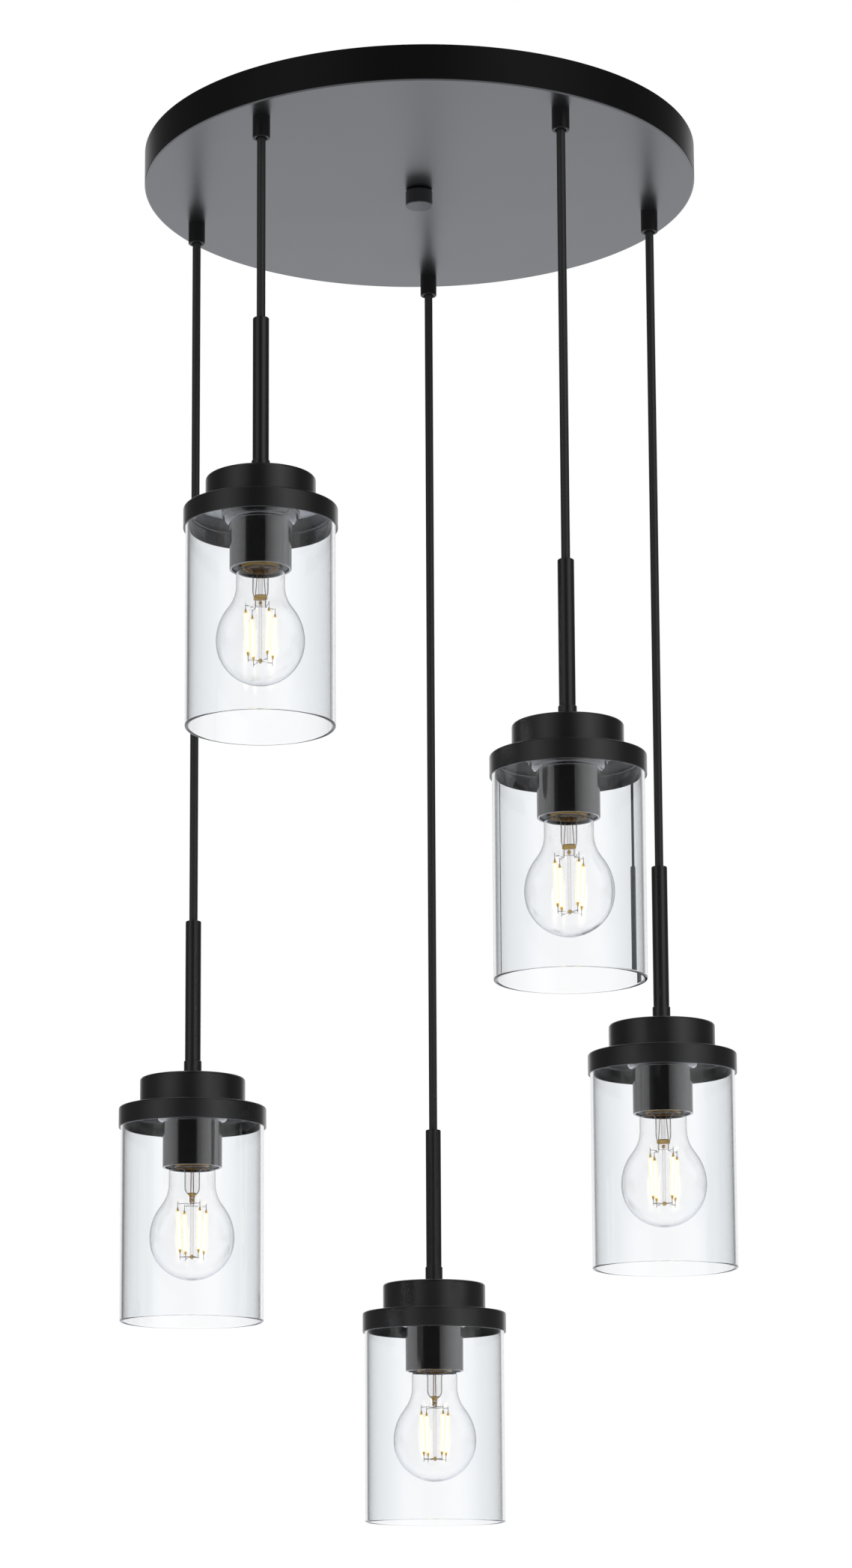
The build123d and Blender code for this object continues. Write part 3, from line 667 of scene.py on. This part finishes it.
# Lamps
def make_stem(number, x, y, cap_top):
    """The stem tube, its coupling with the nipple through the cap, the set screw, and the cup's nut."""
    mesh = bmesh.new()
    tube_end = COUPLING_FLOOR + COUPLING_GAP
    cord_end = STEM_TOP - CORD_SEAT
    profile = [(STEM_BORE, tube_end), (STEM_BORE, cord_end)]
    profile += [(STEM_CORD_BORE, cord_end), (STEM_CORD_BORE, STEM_TOP)]
    profile += arc(STEM_RADIUS - STEM_EDGE, STEM_TOP - STEM_EDGE, STEM_EDGE, 90, 0, 4)
    profile += [(STEM_RADIUS, tube_end)]
    lathe(mesh, profile, x, y, cap_top, 48)

    nipple_end = COVER_UNDER - NIPPLE_END
    socket = STEM_RADIUS + COUPLING_GAP
    chamfer = COUPLING_CHAMFER
    lathe(mesh, [
        (STEM_BORE, nipple_end), (STEM_BORE, COUPLING_FLOOR), (socket, COUPLING_FLOOR),
        (socket, COUPLING_HEIGHT), (COUPLING_RADIUS - chamfer, COUPLING_HEIGHT),
        (COUPLING_RADIUS, COUPLING_HEIGHT - chamfer), (COUPLING_RADIUS, chamfer),
        (COUPLING_RADIUS - chamfer, 0), (NIPPLE_RADIUS, 0), (NIPPLE_RADIUS, nipple_end),
    ], x, y, cap_top, 48)

    azimuth = math.radians(COUPLING_SCREW_AZIMUTH)
    way = Vector((math.cos(azimuth), math.sin(azimuth), 0))
    middle = Vector((x, y, cap_top + COUPLING_SCREW_LEVEL * MM))
    screw_inside = COUPLING_RADIUS - COUPLING_SCREW_DEPTH
    screw_face = COUPLING_RADIUS + 0.02
    turned_washer(mesh, middle, way, [
        (screw_inside, COUPLING_SCREW_SOCKET), (screw_face, COUPLING_SCREW_SOCKET),
        (screw_face, COUPLING_SCREW_FACE),
        (COUPLING_RADIUS - 0.1, COUPLING_SCREW_RADIUS), (screw_inside, COUPLING_SCREW_RADIUS)])

    nut_bottom = -CUP_WALL - CUP_NUT_HEIGHT
    lathe(mesh, [
        (NIPPLE_RADIUS, -CUP_WALL), (CUP_NUT_RADIUS, -CUP_WALL),
        (CUP_NUT_RADIUS, nut_bottom), (NIPPLE_RADIUS, nut_bottom),
    ], x, y, cap_top, 6)
    finish_piece(mesh, f"stem_tube_{number}", SATIN_PAINT, f"lamp_{number}",
                 [f"stem_{number}"])


def make_cap(number, x, y, cap_top):
    """The upper cup on the wider cover that hides the glass's shoulder."""
    mesh = bmesh.new()
    inner = CUP_RADIUS - CUP_WALL
    cup = [(HOLE_RADIUS, 0)] + arc(CUP_RADIUS - CUP_EDGE, -CUP_EDGE, CUP_EDGE, 90, 0)
    cup += [(CUP_RADIUS, -CUP_HEIGHT), (inner, -CUP_HEIGHT)]
    cup += arc(inner - CUP_INNER_EDGE, -CUP_WALL - CUP_INNER_EDGE, CUP_INNER_EDGE, 0, 90, 3)
    cup += [(HOLE_RADIUS, -CUP_WALL)]
    lathe(mesh, cup, x, y, cap_top, 128)
    bore = COVER_RADIUS - COVER_WALL
    cover = [(HOLE_RADIUS, -CUP_HEIGHT)]
    cover += arc(COVER_RADIUS - COVER_EDGE, -CUP_HEIGHT - COVER_EDGE, COVER_EDGE, 90, 0)
    cover += arc(COVER_RADIUS - COVER_LIP, LIP + COVER_LIP, COVER_LIP, 0, -90, 3)
    cover += arc(bore + COVER_LIP, LIP + COVER_LIP, COVER_LIP, -90, -180, 3)
    cover += [(bore, COVER_UNDER), (HOLE_RADIUS, COVER_UNDER)]
    lathe(mesh, cover, x, y, cap_top, 160)
    finish_piece(mesh, f"lamp_cap_{number}", CAP_PAINT, f"lamp_{number}",
                 [f"cap_{number}"])


def make_shade(number, x, y, cap_top):
    """The glass cylinder: a flat top with a round shoulder, and a fire-rounded rim."""
    mesh = bmesh.new()
    inner = SHADE_RADIUS - SHADE_WALL
    bottom = LIP - SHADE_LENGTH
    under = SHADE_TOP - SHADE_WALL
    shoulder = SHADE_SHOULDER
    inner_shoulder = shoulder - SHADE_WALL
    profile = [(SHADE_HOLE, SHADE_TOP)]
    profile += arc(SHADE_RADIUS - shoulder, SHADE_TOP - shoulder, shoulder, 90, 0, 8)
    profile += arc(SHADE_RADIUS - SHADE_RIM, bottom + SHADE_RIM, SHADE_RIM, 0, -90)
    profile += arc(inner + SHADE_RIM, bottom + SHADE_RIM, SHADE_RIM, -90, -180)
    profile += arc(inner - inner_shoulder, under - inner_shoulder, inner_shoulder, 0, 90, 5)
    profile += [(SHADE_HOLE, under)]
    lathe(mesh, profile, x, y, cap_top, 160)
    finish_piece(mesh, f"shade_{number}", SHADE_GLASS, f"lamp_{number}",
                 [f"glass_shade_{number}"])


def make_sleeve(number, x, y, cap_top):
    """The sleeve round the lampholder, with its rounded flange under the glass."""
    mesh = bmesh.new()
    flange_bottom = FLANGE_TOP - FLANGE_HEIGHT
    edge = SLEEVE_EDGE
    profile = [(SLEEVE_BORE, FLANGE_TOP)]
    profile += [(FLANGE_RADIUS - edge, FLANGE_TOP), (FLANGE_RADIUS, FLANGE_TOP - edge)]
    profile += [(FLANGE_RADIUS, flange_bottom + FLANGE_EDGE)]
    profile += [(FLANGE_RADIUS - FLANGE_EDGE, flange_bottom)]
    profile += arc(SLEEVE_RADIUS, flange_bottom, FLANGE_SHOULDER, 0, -84, 8)
    profile += [(SLEEVE_RADIUS, flange_bottom - FLANGE_SHOULDER - 0.5)]
    profile += arc(SLEEVE_RADIUS - edge, SLEEVE_END + edge, edge, 0, -90, 3)
    profile += arc(SLEEVE_BORE + edge, SLEEVE_END + edge, edge, -90, -180, 3)
    lathe(mesh, profile, x, y, cap_top, 96)
    finish_piece(mesh, f"holder_sleeve_{number}", SLEEVE_PAINT, f"lamp_{number}",
                 [f"lamp_sleeve_{number}"])


def make_holder(number, x, y, cap_top):
    """The lampholder's body, just inside the sleeve."""
    mesh = bmesh.new()
    cavity = BULB_TIP + CONTACT_THICKNESS
    nipple_end = COVER_UNDER - NIPPLE_END - COUPLING_GAP
    lathe(mesh, [
        (0, nipple_end), (HOLE_RADIUS, nipple_end), (HOLE_RADIUS, COVER_UNDER),
        (HOLDER_RADIUS, COVER_UNDER), (HOLDER_RADIUS, HOLDER_END + HOLDER_EDGE),
        (HOLDER_RADIUS - HOLDER_EDGE, HOLDER_END), (HOLDER_BORE + HOLDER_CHAMFER, HOLDER_END),
        (HOLDER_BORE, HOLDER_END + HOLDER_CHAMFER), (HOLDER_BORE, cavity), (0, cavity),
    ], x, y, cap_top, 96, closed=False)
    finish_piece(mesh, f"holder_{number}", HOLDER_RESIN, f"lamp_{number}",
                 [f"lampholder_{number}"])


def make_screw_shell(number, x, y, cap_top):
    """The brass shell that the bulb screws into, with its rolled thread, and the centre contact."""
    mesh = bmesh.new()
    top = BULB_TIP + CONTACT_THICKNESS
    bottom = top - SHELL_LENGTH
    inside = []
    for step in range(SHELL_STEPS + 1):
        level = top - SHELL_LENGTH * step / SHELL_STEPS
        wave = 0.5 - 0.5 * math.cos(2 * math.pi * (top - level) / BASE_PITCH)
        inside.append((SHELL_INNER - SHELL_RIPPLE * wave, level))
    lathe(mesh, [(SHELL_RADIUS, bottom), (SHELL_RADIUS, top)] + inside, x, y, cap_top, 64)
    lathe(mesh, [
        (0, BULB_TIP + 0.2), (CONTACT_RADIUS - 0.4, BULB_TIP + 0.2), (CONTACT_RADIUS, BULB_TIP + 0.5),
        (CONTACT_RADIUS, top), (0, top),
    ], x, y, cap_top, 32, closed=False)
    finish_piece(mesh, f"socket_shell_{number}", BRASS_SHEET, f"lamp_{number}",
                 [f"screw_shell_{number}"])


# Bulbs
def globe_outline(inset):
    """The bulb's outline from its neck's top to its lowest point, moved in by an inset."""
    centre = BULB_RADIUS - BULB_LENGTH
    globe = BULB_RADIUS - inset
    crown = BULB_CROWN - inset
    crown_middle = BULB_RADIUS - BULB_CROWN
    neck = BULB_NECK - inset
    turn = math.radians(BULB_CONE)
    meet_r = crown_middle + crown * math.cos(turn)
    meet_z = centre + crown * math.sin(turn)
    corner_z = meet_z + (meet_r - neck) / math.tan(turn)
    blend = BULB_BLEND + inset
    reach = blend * math.tan(turn / 2)
    outline = arc(neck + inset - BULB_SHOULDER, -BASE_HEIGHT - BULB_SHOULDER, BULB_SHOULDER - inset,
                  60, 0, 7)
    outline += arc(neck + blend, corner_z + reach, blend, 180, 180 + BULB_CONE, 14)
    outline += arc(crown_middle, centre, crown, BULB_CONE, 0, 14)
    outline += arc(0, centre, globe, 0, -90, 36)[1:]
    outline[-1] = (0, centre - globe)
    return outline


def make_globe(number, x, y, tip):
    """The clear globe, one wall of glass from its neck inside the base round to its neck again."""
    mesh = bmesh.new()
    lathe(mesh, globe_outline(0) + globe_outline(BULB_WALL)[::-1], x, y, tip, 144)
    finish_piece(mesh, f"globe_{number}", BULB_GLASS, f"bulb_{number}",
                 [f"bulb_glass_{number}"], sharp=60.0)


def flat_oval(mesh, levels, x, y, tip, azimuth, sides=32):
    """A closed skin through oval sections, each a level with its half width and half depth."""
    turn = math.radians(azimuth)
    across = Vector((math.cos(turn), math.sin(turn), 0)) * MM
    along = Vector((-math.sin(turn), math.cos(turn), 0)) * MM
    rings = []
    for level, half_width, half_depth in levels:
        middle = Vector((x, y, tip + level * MM))
        ring = []
        for side in range(sides):
            angle = 2 * math.pi * side / sides
            ring.append(mesh.verts.new(
                middle + across * (half_width * math.cos(angle))
                + along * (half_depth * math.sin(angle))))
        rings.append(ring)
    closed_skin(mesh, rings)


def make_stem_glass(number, x, y, tip, azimuth):
    """The inner glass: a flared tube pressed flat at its end, the sealed tube in it, and the post."""
    body = f"bulb_{number}"
    glass = [f"bulb_glass_{number}"]
    mesh = bmesh.new()
    flare_top = -BASE_HEIGHT + 2.5
    radius = STEM_GLASS_RADIUS
    sections = []
    for step in range(FLARE_STEPS + 1):
        share = step / FLARE_STEPS
        flared = radius + FLARE_SPREAD * (1 - share) ** 2.2
        sections.append((flare_top - FLARE_LENGTH * share, flared, flared))
    end = -STEM_GLASS_END
    width = PINCH_HALF_WIDTH
    depth = PINCH_HALF_DEPTH
    sections += [
        (end + 5.5, radius, radius), (end + 3.4, radius - 0.1, radius - 0.4),
        (end + 1.8, radius - 0.5, radius - 1.3), (end + 0.7, radius - 0.9, radius - 2.4),
        (end + 0.1, width + 0.1, depth + 0.6), (end - 0.6, width, depth),
        (-PINCH_END + 0.8, width, depth), (-PINCH_END + 0.2, width - 0.2, depth - 0.2),
        (-PINCH_END, width - 0.7, depth - 0.7)]
    flat_oval(mesh, sections, x, y, tip, azimuth)
    exhaust_end = end + 2.5
    exhaust = [(0, flare_top), (EXHAUST_RADIUS, flare_top), (EXHAUST_RADIUS, exhaust_end)]
    exhaust += arc(0, exhaust_end, EXHAUST_RADIUS, 0, -80, 4) + [(0, exhaust_end - EXHAUST_RADIUS)]
    lathe(mesh, exhaust, x, y, tip, 24, closed=False)
    finish_piece(mesh, f"stem_glass_{number}", STEM_GLASS, body, glass, sharp=50.0)

    mesh = bmesh.new()
    foot = -LOWER_CROSS - 1.0
    lathe(mesh, [(0, -PINCH_END + 0.5), (POST_RADIUS, -PINCH_END + 0.5), (POST_RADIUS, foot + 0.5),
                 (POST_RADIUS - 0.5, foot), (0, foot)], x, y, tip, 24, closed=False)
    finish_piece(mesh, f"post_{number}", POST_GLASS, body, glass)

    mesh = bmesh.new()
    for level, radius in ((-LOWER_CROSS + 0.5, BEAD_RADIUS), (-PINCH_END + 2.2, BEAD_RADIUS - 0.2)):
        bead = arc(0, level, radius, 90, -90, 10)
        bead[0] = (0, level + radius)
        bead[-1] = (0, level - radius)
        lathe(mesh, bead, x, y, tip, 20, closed=False)
    collar = [(end + 1.6, 4.0, 3.2), (end + 0.9, 4.9, 3.4), (end + 0.1, 4.6, 2.2),
              (end - 0.6, 4.9, 1.7), (end - 1.3, 4.6, 1.6), (end - 1.6, 3.6, 1.3)]
    flat_oval(mesh, collar, x, y, tip, azimuth)
    finish_piece(mesh, f"glass_beads_{number}", BEAD_GLASS, body, glass)


def make_base(number, x, y, tip):
    """The screw base: a thin brass shell with rolled threads, its insulator and its contact."""
    body = f"bulb_{number}"
    base = [f"bulb_base_{number}"]
    mesh = bmesh.new()
    root = BASE_RADIUS - BASE_THREAD
    bore = root - BASE_SHEET
    shell = [(bore, -BASE_HEIGHT + 0.7), (root - 0.15, -BASE_HEIGHT + 0.6), (root, -BASE_HEIGHT + 0.8)]
    foot = -BASE_HEIGHT + BASE_PITCH / 2
    for step in range(BASE_TURNS * THREAD_STEPS + 1):
        wave = 0.5 - 0.5 * math.cos(2 * math.pi * step / THREAD_STEPS)
        shell.append((root + BASE_THREAD * wave, foot + BASE_PITCH * step / THREAD_STEPS))
    shell += [(root, -BASE_FOOT), (0, -BASE_FOOT), (0, -BASE_HEIGHT + 9.0), (bore, -BASE_HEIGHT + 7.0)]
    lathe(mesh, shell, x, y, tip, 64)
    finish_piece(mesh, f"screw_base_{number}", BASE_BRASS_PAINTED_LIT, body, base, sharp=50.0)

    mesh = bmesh.new()
    insulator = [(0, -TIP_CONTACT), (4.5, -TIP_CONTACT), (11.0, -INSULATOR_TOP), (0, -INSULATOR_TOP)]
    lathe(mesh, insulator, x, y, tip, 48, closed=False)
    finish_piece(mesh, f"base_insulator_{number}", INSULATOR_GLASS, body, base)

    mesh = bmesh.new()
    contact = [(0, 0), (3.4, -0.1), (4.3, -0.6), (4.3, -TIP_CONTACT), (0, -TIP_CONTACT)]
    lathe(mesh, contact, x, y, tip, 32, closed=False)
    finish_piece(mesh, f"base_contact_{number}", ZINC_PLATE, body, base)


def make_filaments(number, x, y, tip, azimuth):
    """Four filaments between two crosses of wire, fed by two leads through the pressed glass."""
    filaments, glow_halos, tips, wires, leads = (bmesh.new() for _ in range(5))
    axis = Vector((x, y, tip))
    up = Vector((0, 0, MM))
    turn = math.radians(azimuth)
    lead_way = Vector((math.cos(turn), math.sin(turn), 0)) * MM
    lead_route = (
        (2.2, BASE_HEIGHT - 2.0), (2.3, BASE_HEIGHT + 3.0), (2.9, 37.0), (LEAD_SPREAD, 43.0),
        (LEAD_SPREAD, PINCH_END), (LEAD_SPREAD + 0.3, UPPER_CROSS))
    for side in (-1, 1):
        tube(leads, [axis + lead_way * side * spread - up * level for spread, level in lead_route],
             LEAD_RADIUS * MM)
    wire = WIRE_RADIUS * MM
    for quarter in range(4):
        angle = math.radians(FILAMENT_AZIMUTH + quarter * 90)
        ray = Vector((math.cos(angle), math.sin(angle), 0)) * MM
        top = axis + ray * FILAMENT_TOP_CIRCLE - up * (FILAMENT_TOP - 2.0)
        low = axis + ray * FILAMENT_BOTTOM_CIRCLE - up * (FILAMENT_BOTTOM + 2.0)
        way = (low - top).normalized()
        length = (low - top).length / MM
        body_length = length - 2 * TIP_LENGTH
        body_top = top + way * (TIP_LENGTH * MM)
        turned_rod(filaments, body_top, way, [
            (-0.2, 0.8), (0.4, FILAMENT_RADIUS),
            (body_length - 0.4, FILAMENT_RADIUS), (body_length + 0.2, 0.8)])
        # The see-through shell round the filament body: painted glow.
        turned_rod(glow_halos, body_top, way, [
            (-0.6, 1.05), (0.4, 1.5), (1.6, FILAMENT_HALO_RADIUS),
            (body_length - 1.6, FILAMENT_HALO_RADIUS), (body_length - 0.4, 1.5),
            (body_length + 0.6, 1.05)])
        for end_point, inward in ((top, way), (low, -way)):
            turned_rod(tips, end_point, inward, [
                (0.0, 0.3), (0.5, 0.55), (TIP_LENGTH - 0.6, TIP_RADIUS), (TIP_LENGTH, TIP_RADIUS - 0.1)])
        crown = axis + ray * FILAMENT_TOP_CIRCLE - up * UPPER_CROSS
        side = 1 if ray.dot(lead_way) > 0 else -1
        start = axis + lead_way * side * (LEAD_SPREAD + 0.3) - up * UPPER_CROSS
        foot = axis + ray * FILAMENT_BOTTOM_CIRCLE - up * LOWER_CROSS
        post_side = axis + ray * POST_RADIUS * 0.8 - up * (LOWER_CROSS - 0.5)
        tube(wires, [start, start.lerp(crown, 0.5) + up * 0.35, crown], wire)
        tube(wires, [crown + up * BAR_REACH, top + way * WIRE_OVERLAP * MM], wire)
        tube(wires, [post_side, foot], wire)
        tube(wires, [foot - up * BAR_REACH, low - way * WIRE_OVERLAP * MM], wire)
    for mesh, name, material in (
            (filaments, "filaments", FILAMENT_LIGHT), (glow_halos, "filament_glow_halos", FILAMENT_GLOW_HALO),
            (tips, "filament_tips", GOLD_TIP), (wires, "filament_wires", NICKEL_WIRE),
            (leads, "lead_wires", COPPER_LEAD)):
        finish_piece(mesh, f"{name}_{number}", material, f"bulb_{number}",
                     [f"bulb_base_{number}"])


def make_bulb(number, x, y, cap_top):
    """A clear globe on its screw base, with its inner glass, wires and filaments."""
    tip = cap_top + BULB_TIP * MM
    pinch_azimuth = FILAMENT_AZIMUTH + PINCH_TURNS[number - 1]
    make_globe(number, x, y, tip)
    make_stem_glass(number, x, y, tip, pinch_azimuth)
    make_base(number, x, y, tip)
    make_filaments(number, x, y, tip, pinch_azimuth)


make_canopy()
make_finial()
make_grips()
for number, (x, y, low, high) in zip(PENDANTS, SPOTS):
    make_cord(number, x, y, low, high)
    cap_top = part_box(f"stem_{number}")[1][2] - STEM_TOP * MM
    make_stem(number, x, y, cap_top)
    make_cap(number, x, y, cap_top)
    make_shade(number, x, y, cap_top)
    make_sleeve(number, x, y, cap_top)
    make_holder(number, x, y, cap_top)
    make_screw_shell(number, x, y, cap_top)
    make_bulb(number, x, y, cap_top)

# Finishes of the pieces that stay as the frame has them
kept_finishes = {
    "mounting_bar": ZINC_PLATE,
    "centre_stud": ZINC_PLATE,
    "locknuts": ZINC_PLATE,
    "grip_set_screws": SATIN_PAINT,
    "ground_screw": GREEN_SCREW,
    "terminal_block": IVORY_PLASTIC,
    "cord_tails": CORD_SHEATH,
}
kept_finishes.update({f"cord_bend_{number}": CORD_SHEATH for number in PENDANTS})
for name, material in kept_finishes.items():
    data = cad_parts[name].data
    data.materials.clear()
    data.materials.append(material)


# Studio
# Brightness round the horizon, by the azimuth in degrees from the camera's side, anticlockwise as seen
# from above. Which one a reflection sees follows from how many surfaces of glass its ray has passed: the
# first outside the glasses, the second on the sleeves in them, and the last, which is dark but for its
# back, behind two walls of glass.
OUTER_PANORAMA = (
    (-180, 1.0), (-155, 1.0), (-148, 0.25), (-120, 0.10), (-85, 0.12), (-66, 0.35), (-48, 0.62),
    (-32, 0.40), (-14, 0.05), (10, 0.05), (28, 0.55), (45, 0.95), (62, 0.60), (88, 0.12),
    (120, 0.10), (148, 0.25), (155, 1.0), (180, 1.0))
INNER_PANORAMA = (
    (-180, 0.3), (-128, 0.5), (-105, 0.75), (-78, 0.8), (-60, 0.66), (-54, 0.5), (-51, 0.03),
    (-20, 0.02), (22, 0.02), (25, 0.35), (45, 0.62), (64, 0.92), (90, 1.0), (110, 0.9),
    (128, 0.55), (180, 0.3))
DEEP_PANORAMA = ((-180, 1.0), (-140, 0.9), (-108, 0.06), (108, 0.06), (140, 0.9), (180, 1.0))
INNER_SURFACES = 2.5    # more surfaces than this, and the inner panorama shows
DEEP_SURFACES = 4.5     # more than this, and the deep one does
MOST_SURFACES = 10.0    # that make up for what they reflect
FACE_LOSS = 0.027       # light that a surface reflects, which straight light through it gets back
BELOW_COLOUR = (0.94, 0.96, 1.02, 1)    # of the studio's floor in reflections
BELOW_FROM, BELOW_TO = 0.02, -0.08      # Z of a ray's direction, over which that floor fades in
AHEAD_FROM, AHEAD_TO = 0.3, -0.3        # its Y, over which the floor fades out for the sleeves


def panorama(tree, azimuth, stops):
    """The brightness at an azimuth, which runs from 0 to 1 for the whole round."""
    return colour_ramp(tree, azimuth, [
        ((degrees + 180) / 360, (level, level, level, 1)) for degrees, level in stops])


def make_world():
    """A white surround for straight views, and a studio of dark and pale panels for reflections."""
    world = bpy.data.worlds.new("studio")
    bpy.context.scene.world = world
    world.use_nodes = True
    world.cycles.sampling_method = "NONE"
    tree = world.node_tree
    link = tree.links.new
    light = tree.nodes["Background"]

    # Where a ray goes: its azimuth from 0 to 1, and how far it points below the horizon and ahead
    place = tree.nodes.new("ShaderNodeTexCoord")
    parts = tree.nodes.new("ShaderNodeSeparateXYZ")
    back = math_node(tree, "MULTIPLY", -1.0)
    angle = math_node(tree, "ARCTAN2")
    azimuth = node(tree, "ShaderNodeMapRange", From_Min=-math.pi, From_Max=math.pi)
    below = node(tree, "ShaderNodeMapRange", interpolation_type="SMOOTHSTEP",
                 From_Min=BELOW_FROM, From_Max=BELOW_TO)
    ahead = node(tree, "ShaderNodeMapRange", interpolation_type="SMOOTHSTEP",
                 From_Min=AHEAD_FROM, From_Max=AHEAD_TO)
    link(place.outputs["Generated"], parts.inputs[0])
    link(parts.outputs["Y"], back.inputs[0])
    link(parts.outputs["X"], angle.inputs[0])
    link(back.outputs[0], angle.inputs[1])
    link(angle.outputs[0], azimuth.inputs["Value"])
    link(parts.outputs["Z"], below.inputs["Value"])
    link(parts.outputs["Y"], ahead.inputs["Value"])

    # What it has passed: glass, and a reflection or none
    path = tree.nodes.new("ShaderNodeLightPath")
    within = math_node(tree, "GREATER_THAN", INNER_SURFACES)
    behind = math_node(tree, "GREATER_THAN", DEEP_SURFACES)
    shines = math_node(tree, "MINIMUM", 1.0)
    passed = math_node(tree, "MINIMUM", MOST_SURFACES)
    straight = math_node(tree, "MULTIPLY_ADD", FACE_LOSS)
    straight.inputs[2].default_value = 1.0
    link(path.outputs["Transmission Depth"], within.inputs[0])
    link(path.outputs["Transmission Depth"], behind.inputs[0])
    link(path.outputs["Glossy Depth"], shines.inputs[0])
    link(path.outputs["Transmission Depth"], passed.inputs[0])
    link(passed.outputs[0], straight.inputs[0])

    # The panorama that it sees, and the floor below that
    studio, room, grounded, seen = (node(tree, "ShaderNodeMix", data_type="RGBA") for _ in range(4))
    grounded.inputs[MIX_B].default_value = BELOW_COLOUR
    shaded = math_node(tree, "MULTIPLY")
    open_ground = math_node(tree, "SUBTRACT", 1.0, place=0)
    ground = math_node(tree, "MULTIPLY")
    link(within.outputs[0], studio.inputs[0])
    link(panorama(tree, azimuth.outputs[0], OUTER_PANORAMA), studio.inputs[MIX_A])
    link(panorama(tree, azimuth.outputs[0], INNER_PANORAMA), studio.inputs[MIX_B])
    link(behind.outputs[0], room.inputs[0])
    link(studio.outputs[MIX_RESULT], room.inputs[MIX_A])
    link(panorama(tree, azimuth.outputs[0], DEEP_PANORAMA), room.inputs[MIX_B])
    link(ahead.outputs[0], shaded.inputs[0])
    link(within.outputs[0], shaded.inputs[1])
    link(shaded.outputs[0], open_ground.inputs[1])
    link(below.outputs[0], ground.inputs[0])
    link(open_ground.outputs[0], ground.inputs[1])
    link(ground.outputs[0], grounded.inputs[0])
    link(room.outputs[MIX_RESULT], grounded.inputs[MIX_A])
    link(shines.outputs[0], seen.inputs[0])
    link(straight.outputs[0], seen.inputs[MIX_A])
    link(grounded.outputs[MIX_RESULT], seen.inputs[MIX_B])
    link(seen.outputs[MIX_RESULT], light.inputs["Color"])


def make_floor():
    """A pale floor well below the lamps. It can't be seen from below."""
    mesh = bmesh.new()
    mesh.faces.new([
        mesh.verts.new((side_x * FLOOR_REACH, side_y * FLOOR_REACH, FLOOR_LEVEL))
        for side_x, side_y in ((-1, -1), (1, -1), (1, 1), (-1, 1))])
    data = bpy.data.meshes.new("floor")
    mesh.to_mesh(data)
    mesh.free()
    floor = bpy.data.objects.new("floor", data)
    bpy.context.scene.collection.objects.link(floor)
    floor.visible_glossy = False
    floor.visible_transmission = False
    material, shader = principled("pale_floor")
    shader.inputs["Base Color"].default_value = FLOOR_GREY
    shader.inputs["Roughness"].default_value = 0.9
    shader.inputs["Specular IOR Level"].default_value = 0.0
    side = material.node_tree.nodes.new("ShaderNodeNewGeometry")
    see_through(material, shader, side.outputs["Backfacing"])
    data.materials.append(material)


def soft_lamp(name, place, target, size, power):
    """A square soft lamp aimed at a point. Reflections don't show it, only its light."""
    data = bpy.data.lights.new(name, "AREA")
    data.size = size
    data.energy = power
    lamp = bpy.data.objects.new(name, data)
    lamp.location = place
    lamp.rotation_euler = (Vector(target) - Vector(place)).to_track_quat("-Z", "Y").to_euler()
    lamp.visible_glossy = False
    lamp.visible_camera = False
    lamp.visible_transmission = False
    bpy.context.scene.collection.objects.link(lamp)


# The photo's camera, fitted to the ellipses and upright edges in it
CAMERA_PLACE = (0.1066, -2.7271, -1.1098)
CAMERA_RISE = 9.804     # degrees above level
CAMERA_TURN = 3.996     # degrees anticlockwise from +Y
FOCAL_PIXELS = 5310.9
FRAME_WIDTH, FRAME_HEIGHT = 1138.0, 2094.0
AXIS_PIXEL = (404.9, 1371.3)    # where the camera's axis meets the frame
SENSOR_WIDTH = 36.0


def make_camera():
    """The photo's view, looking a little up, with the frame shifted up and right."""
    data = bpy.data.cameras.new("camera")
    camera = bpy.data.objects.new("camera", data)
    bpy.context.scene.collection.objects.link(camera)
    axis_x, axis_y = AXIS_PIXEL
    data.sensor_width = SENSOR_WIDTH
    data.lens = FOCAL_PIXELS / FRAME_HEIGHT * SENSOR_WIDTH
    data.shift_x = (FRAME_WIDTH / 2 - axis_x) / FRAME_HEIGHT
    data.shift_y = (axis_y - FRAME_HEIGHT / 2) / FRAME_HEIGHT
    data.clip_end = 50.0
    camera.location = CAMERA_PLACE
    camera.rotation_euler = (math.radians(90 + CAMERA_RISE), 0, math.radians(CAMERA_TURN))
    bpy.context.scene.camera = camera


make_world()
make_floor()
soft_lamp("left_lamp", place=(-2.2, -1.2, 0.6), target=(0, 0, -0.5), size=1.6, power=8.0)
soft_lamp("right_lamp", place=(2.2, -1.0, 0.2), target=(0, 0, -0.5), size=1.6, power=6.0)
make_camera()
bpy.context.scene.view_settings.view_transform = "Standard"
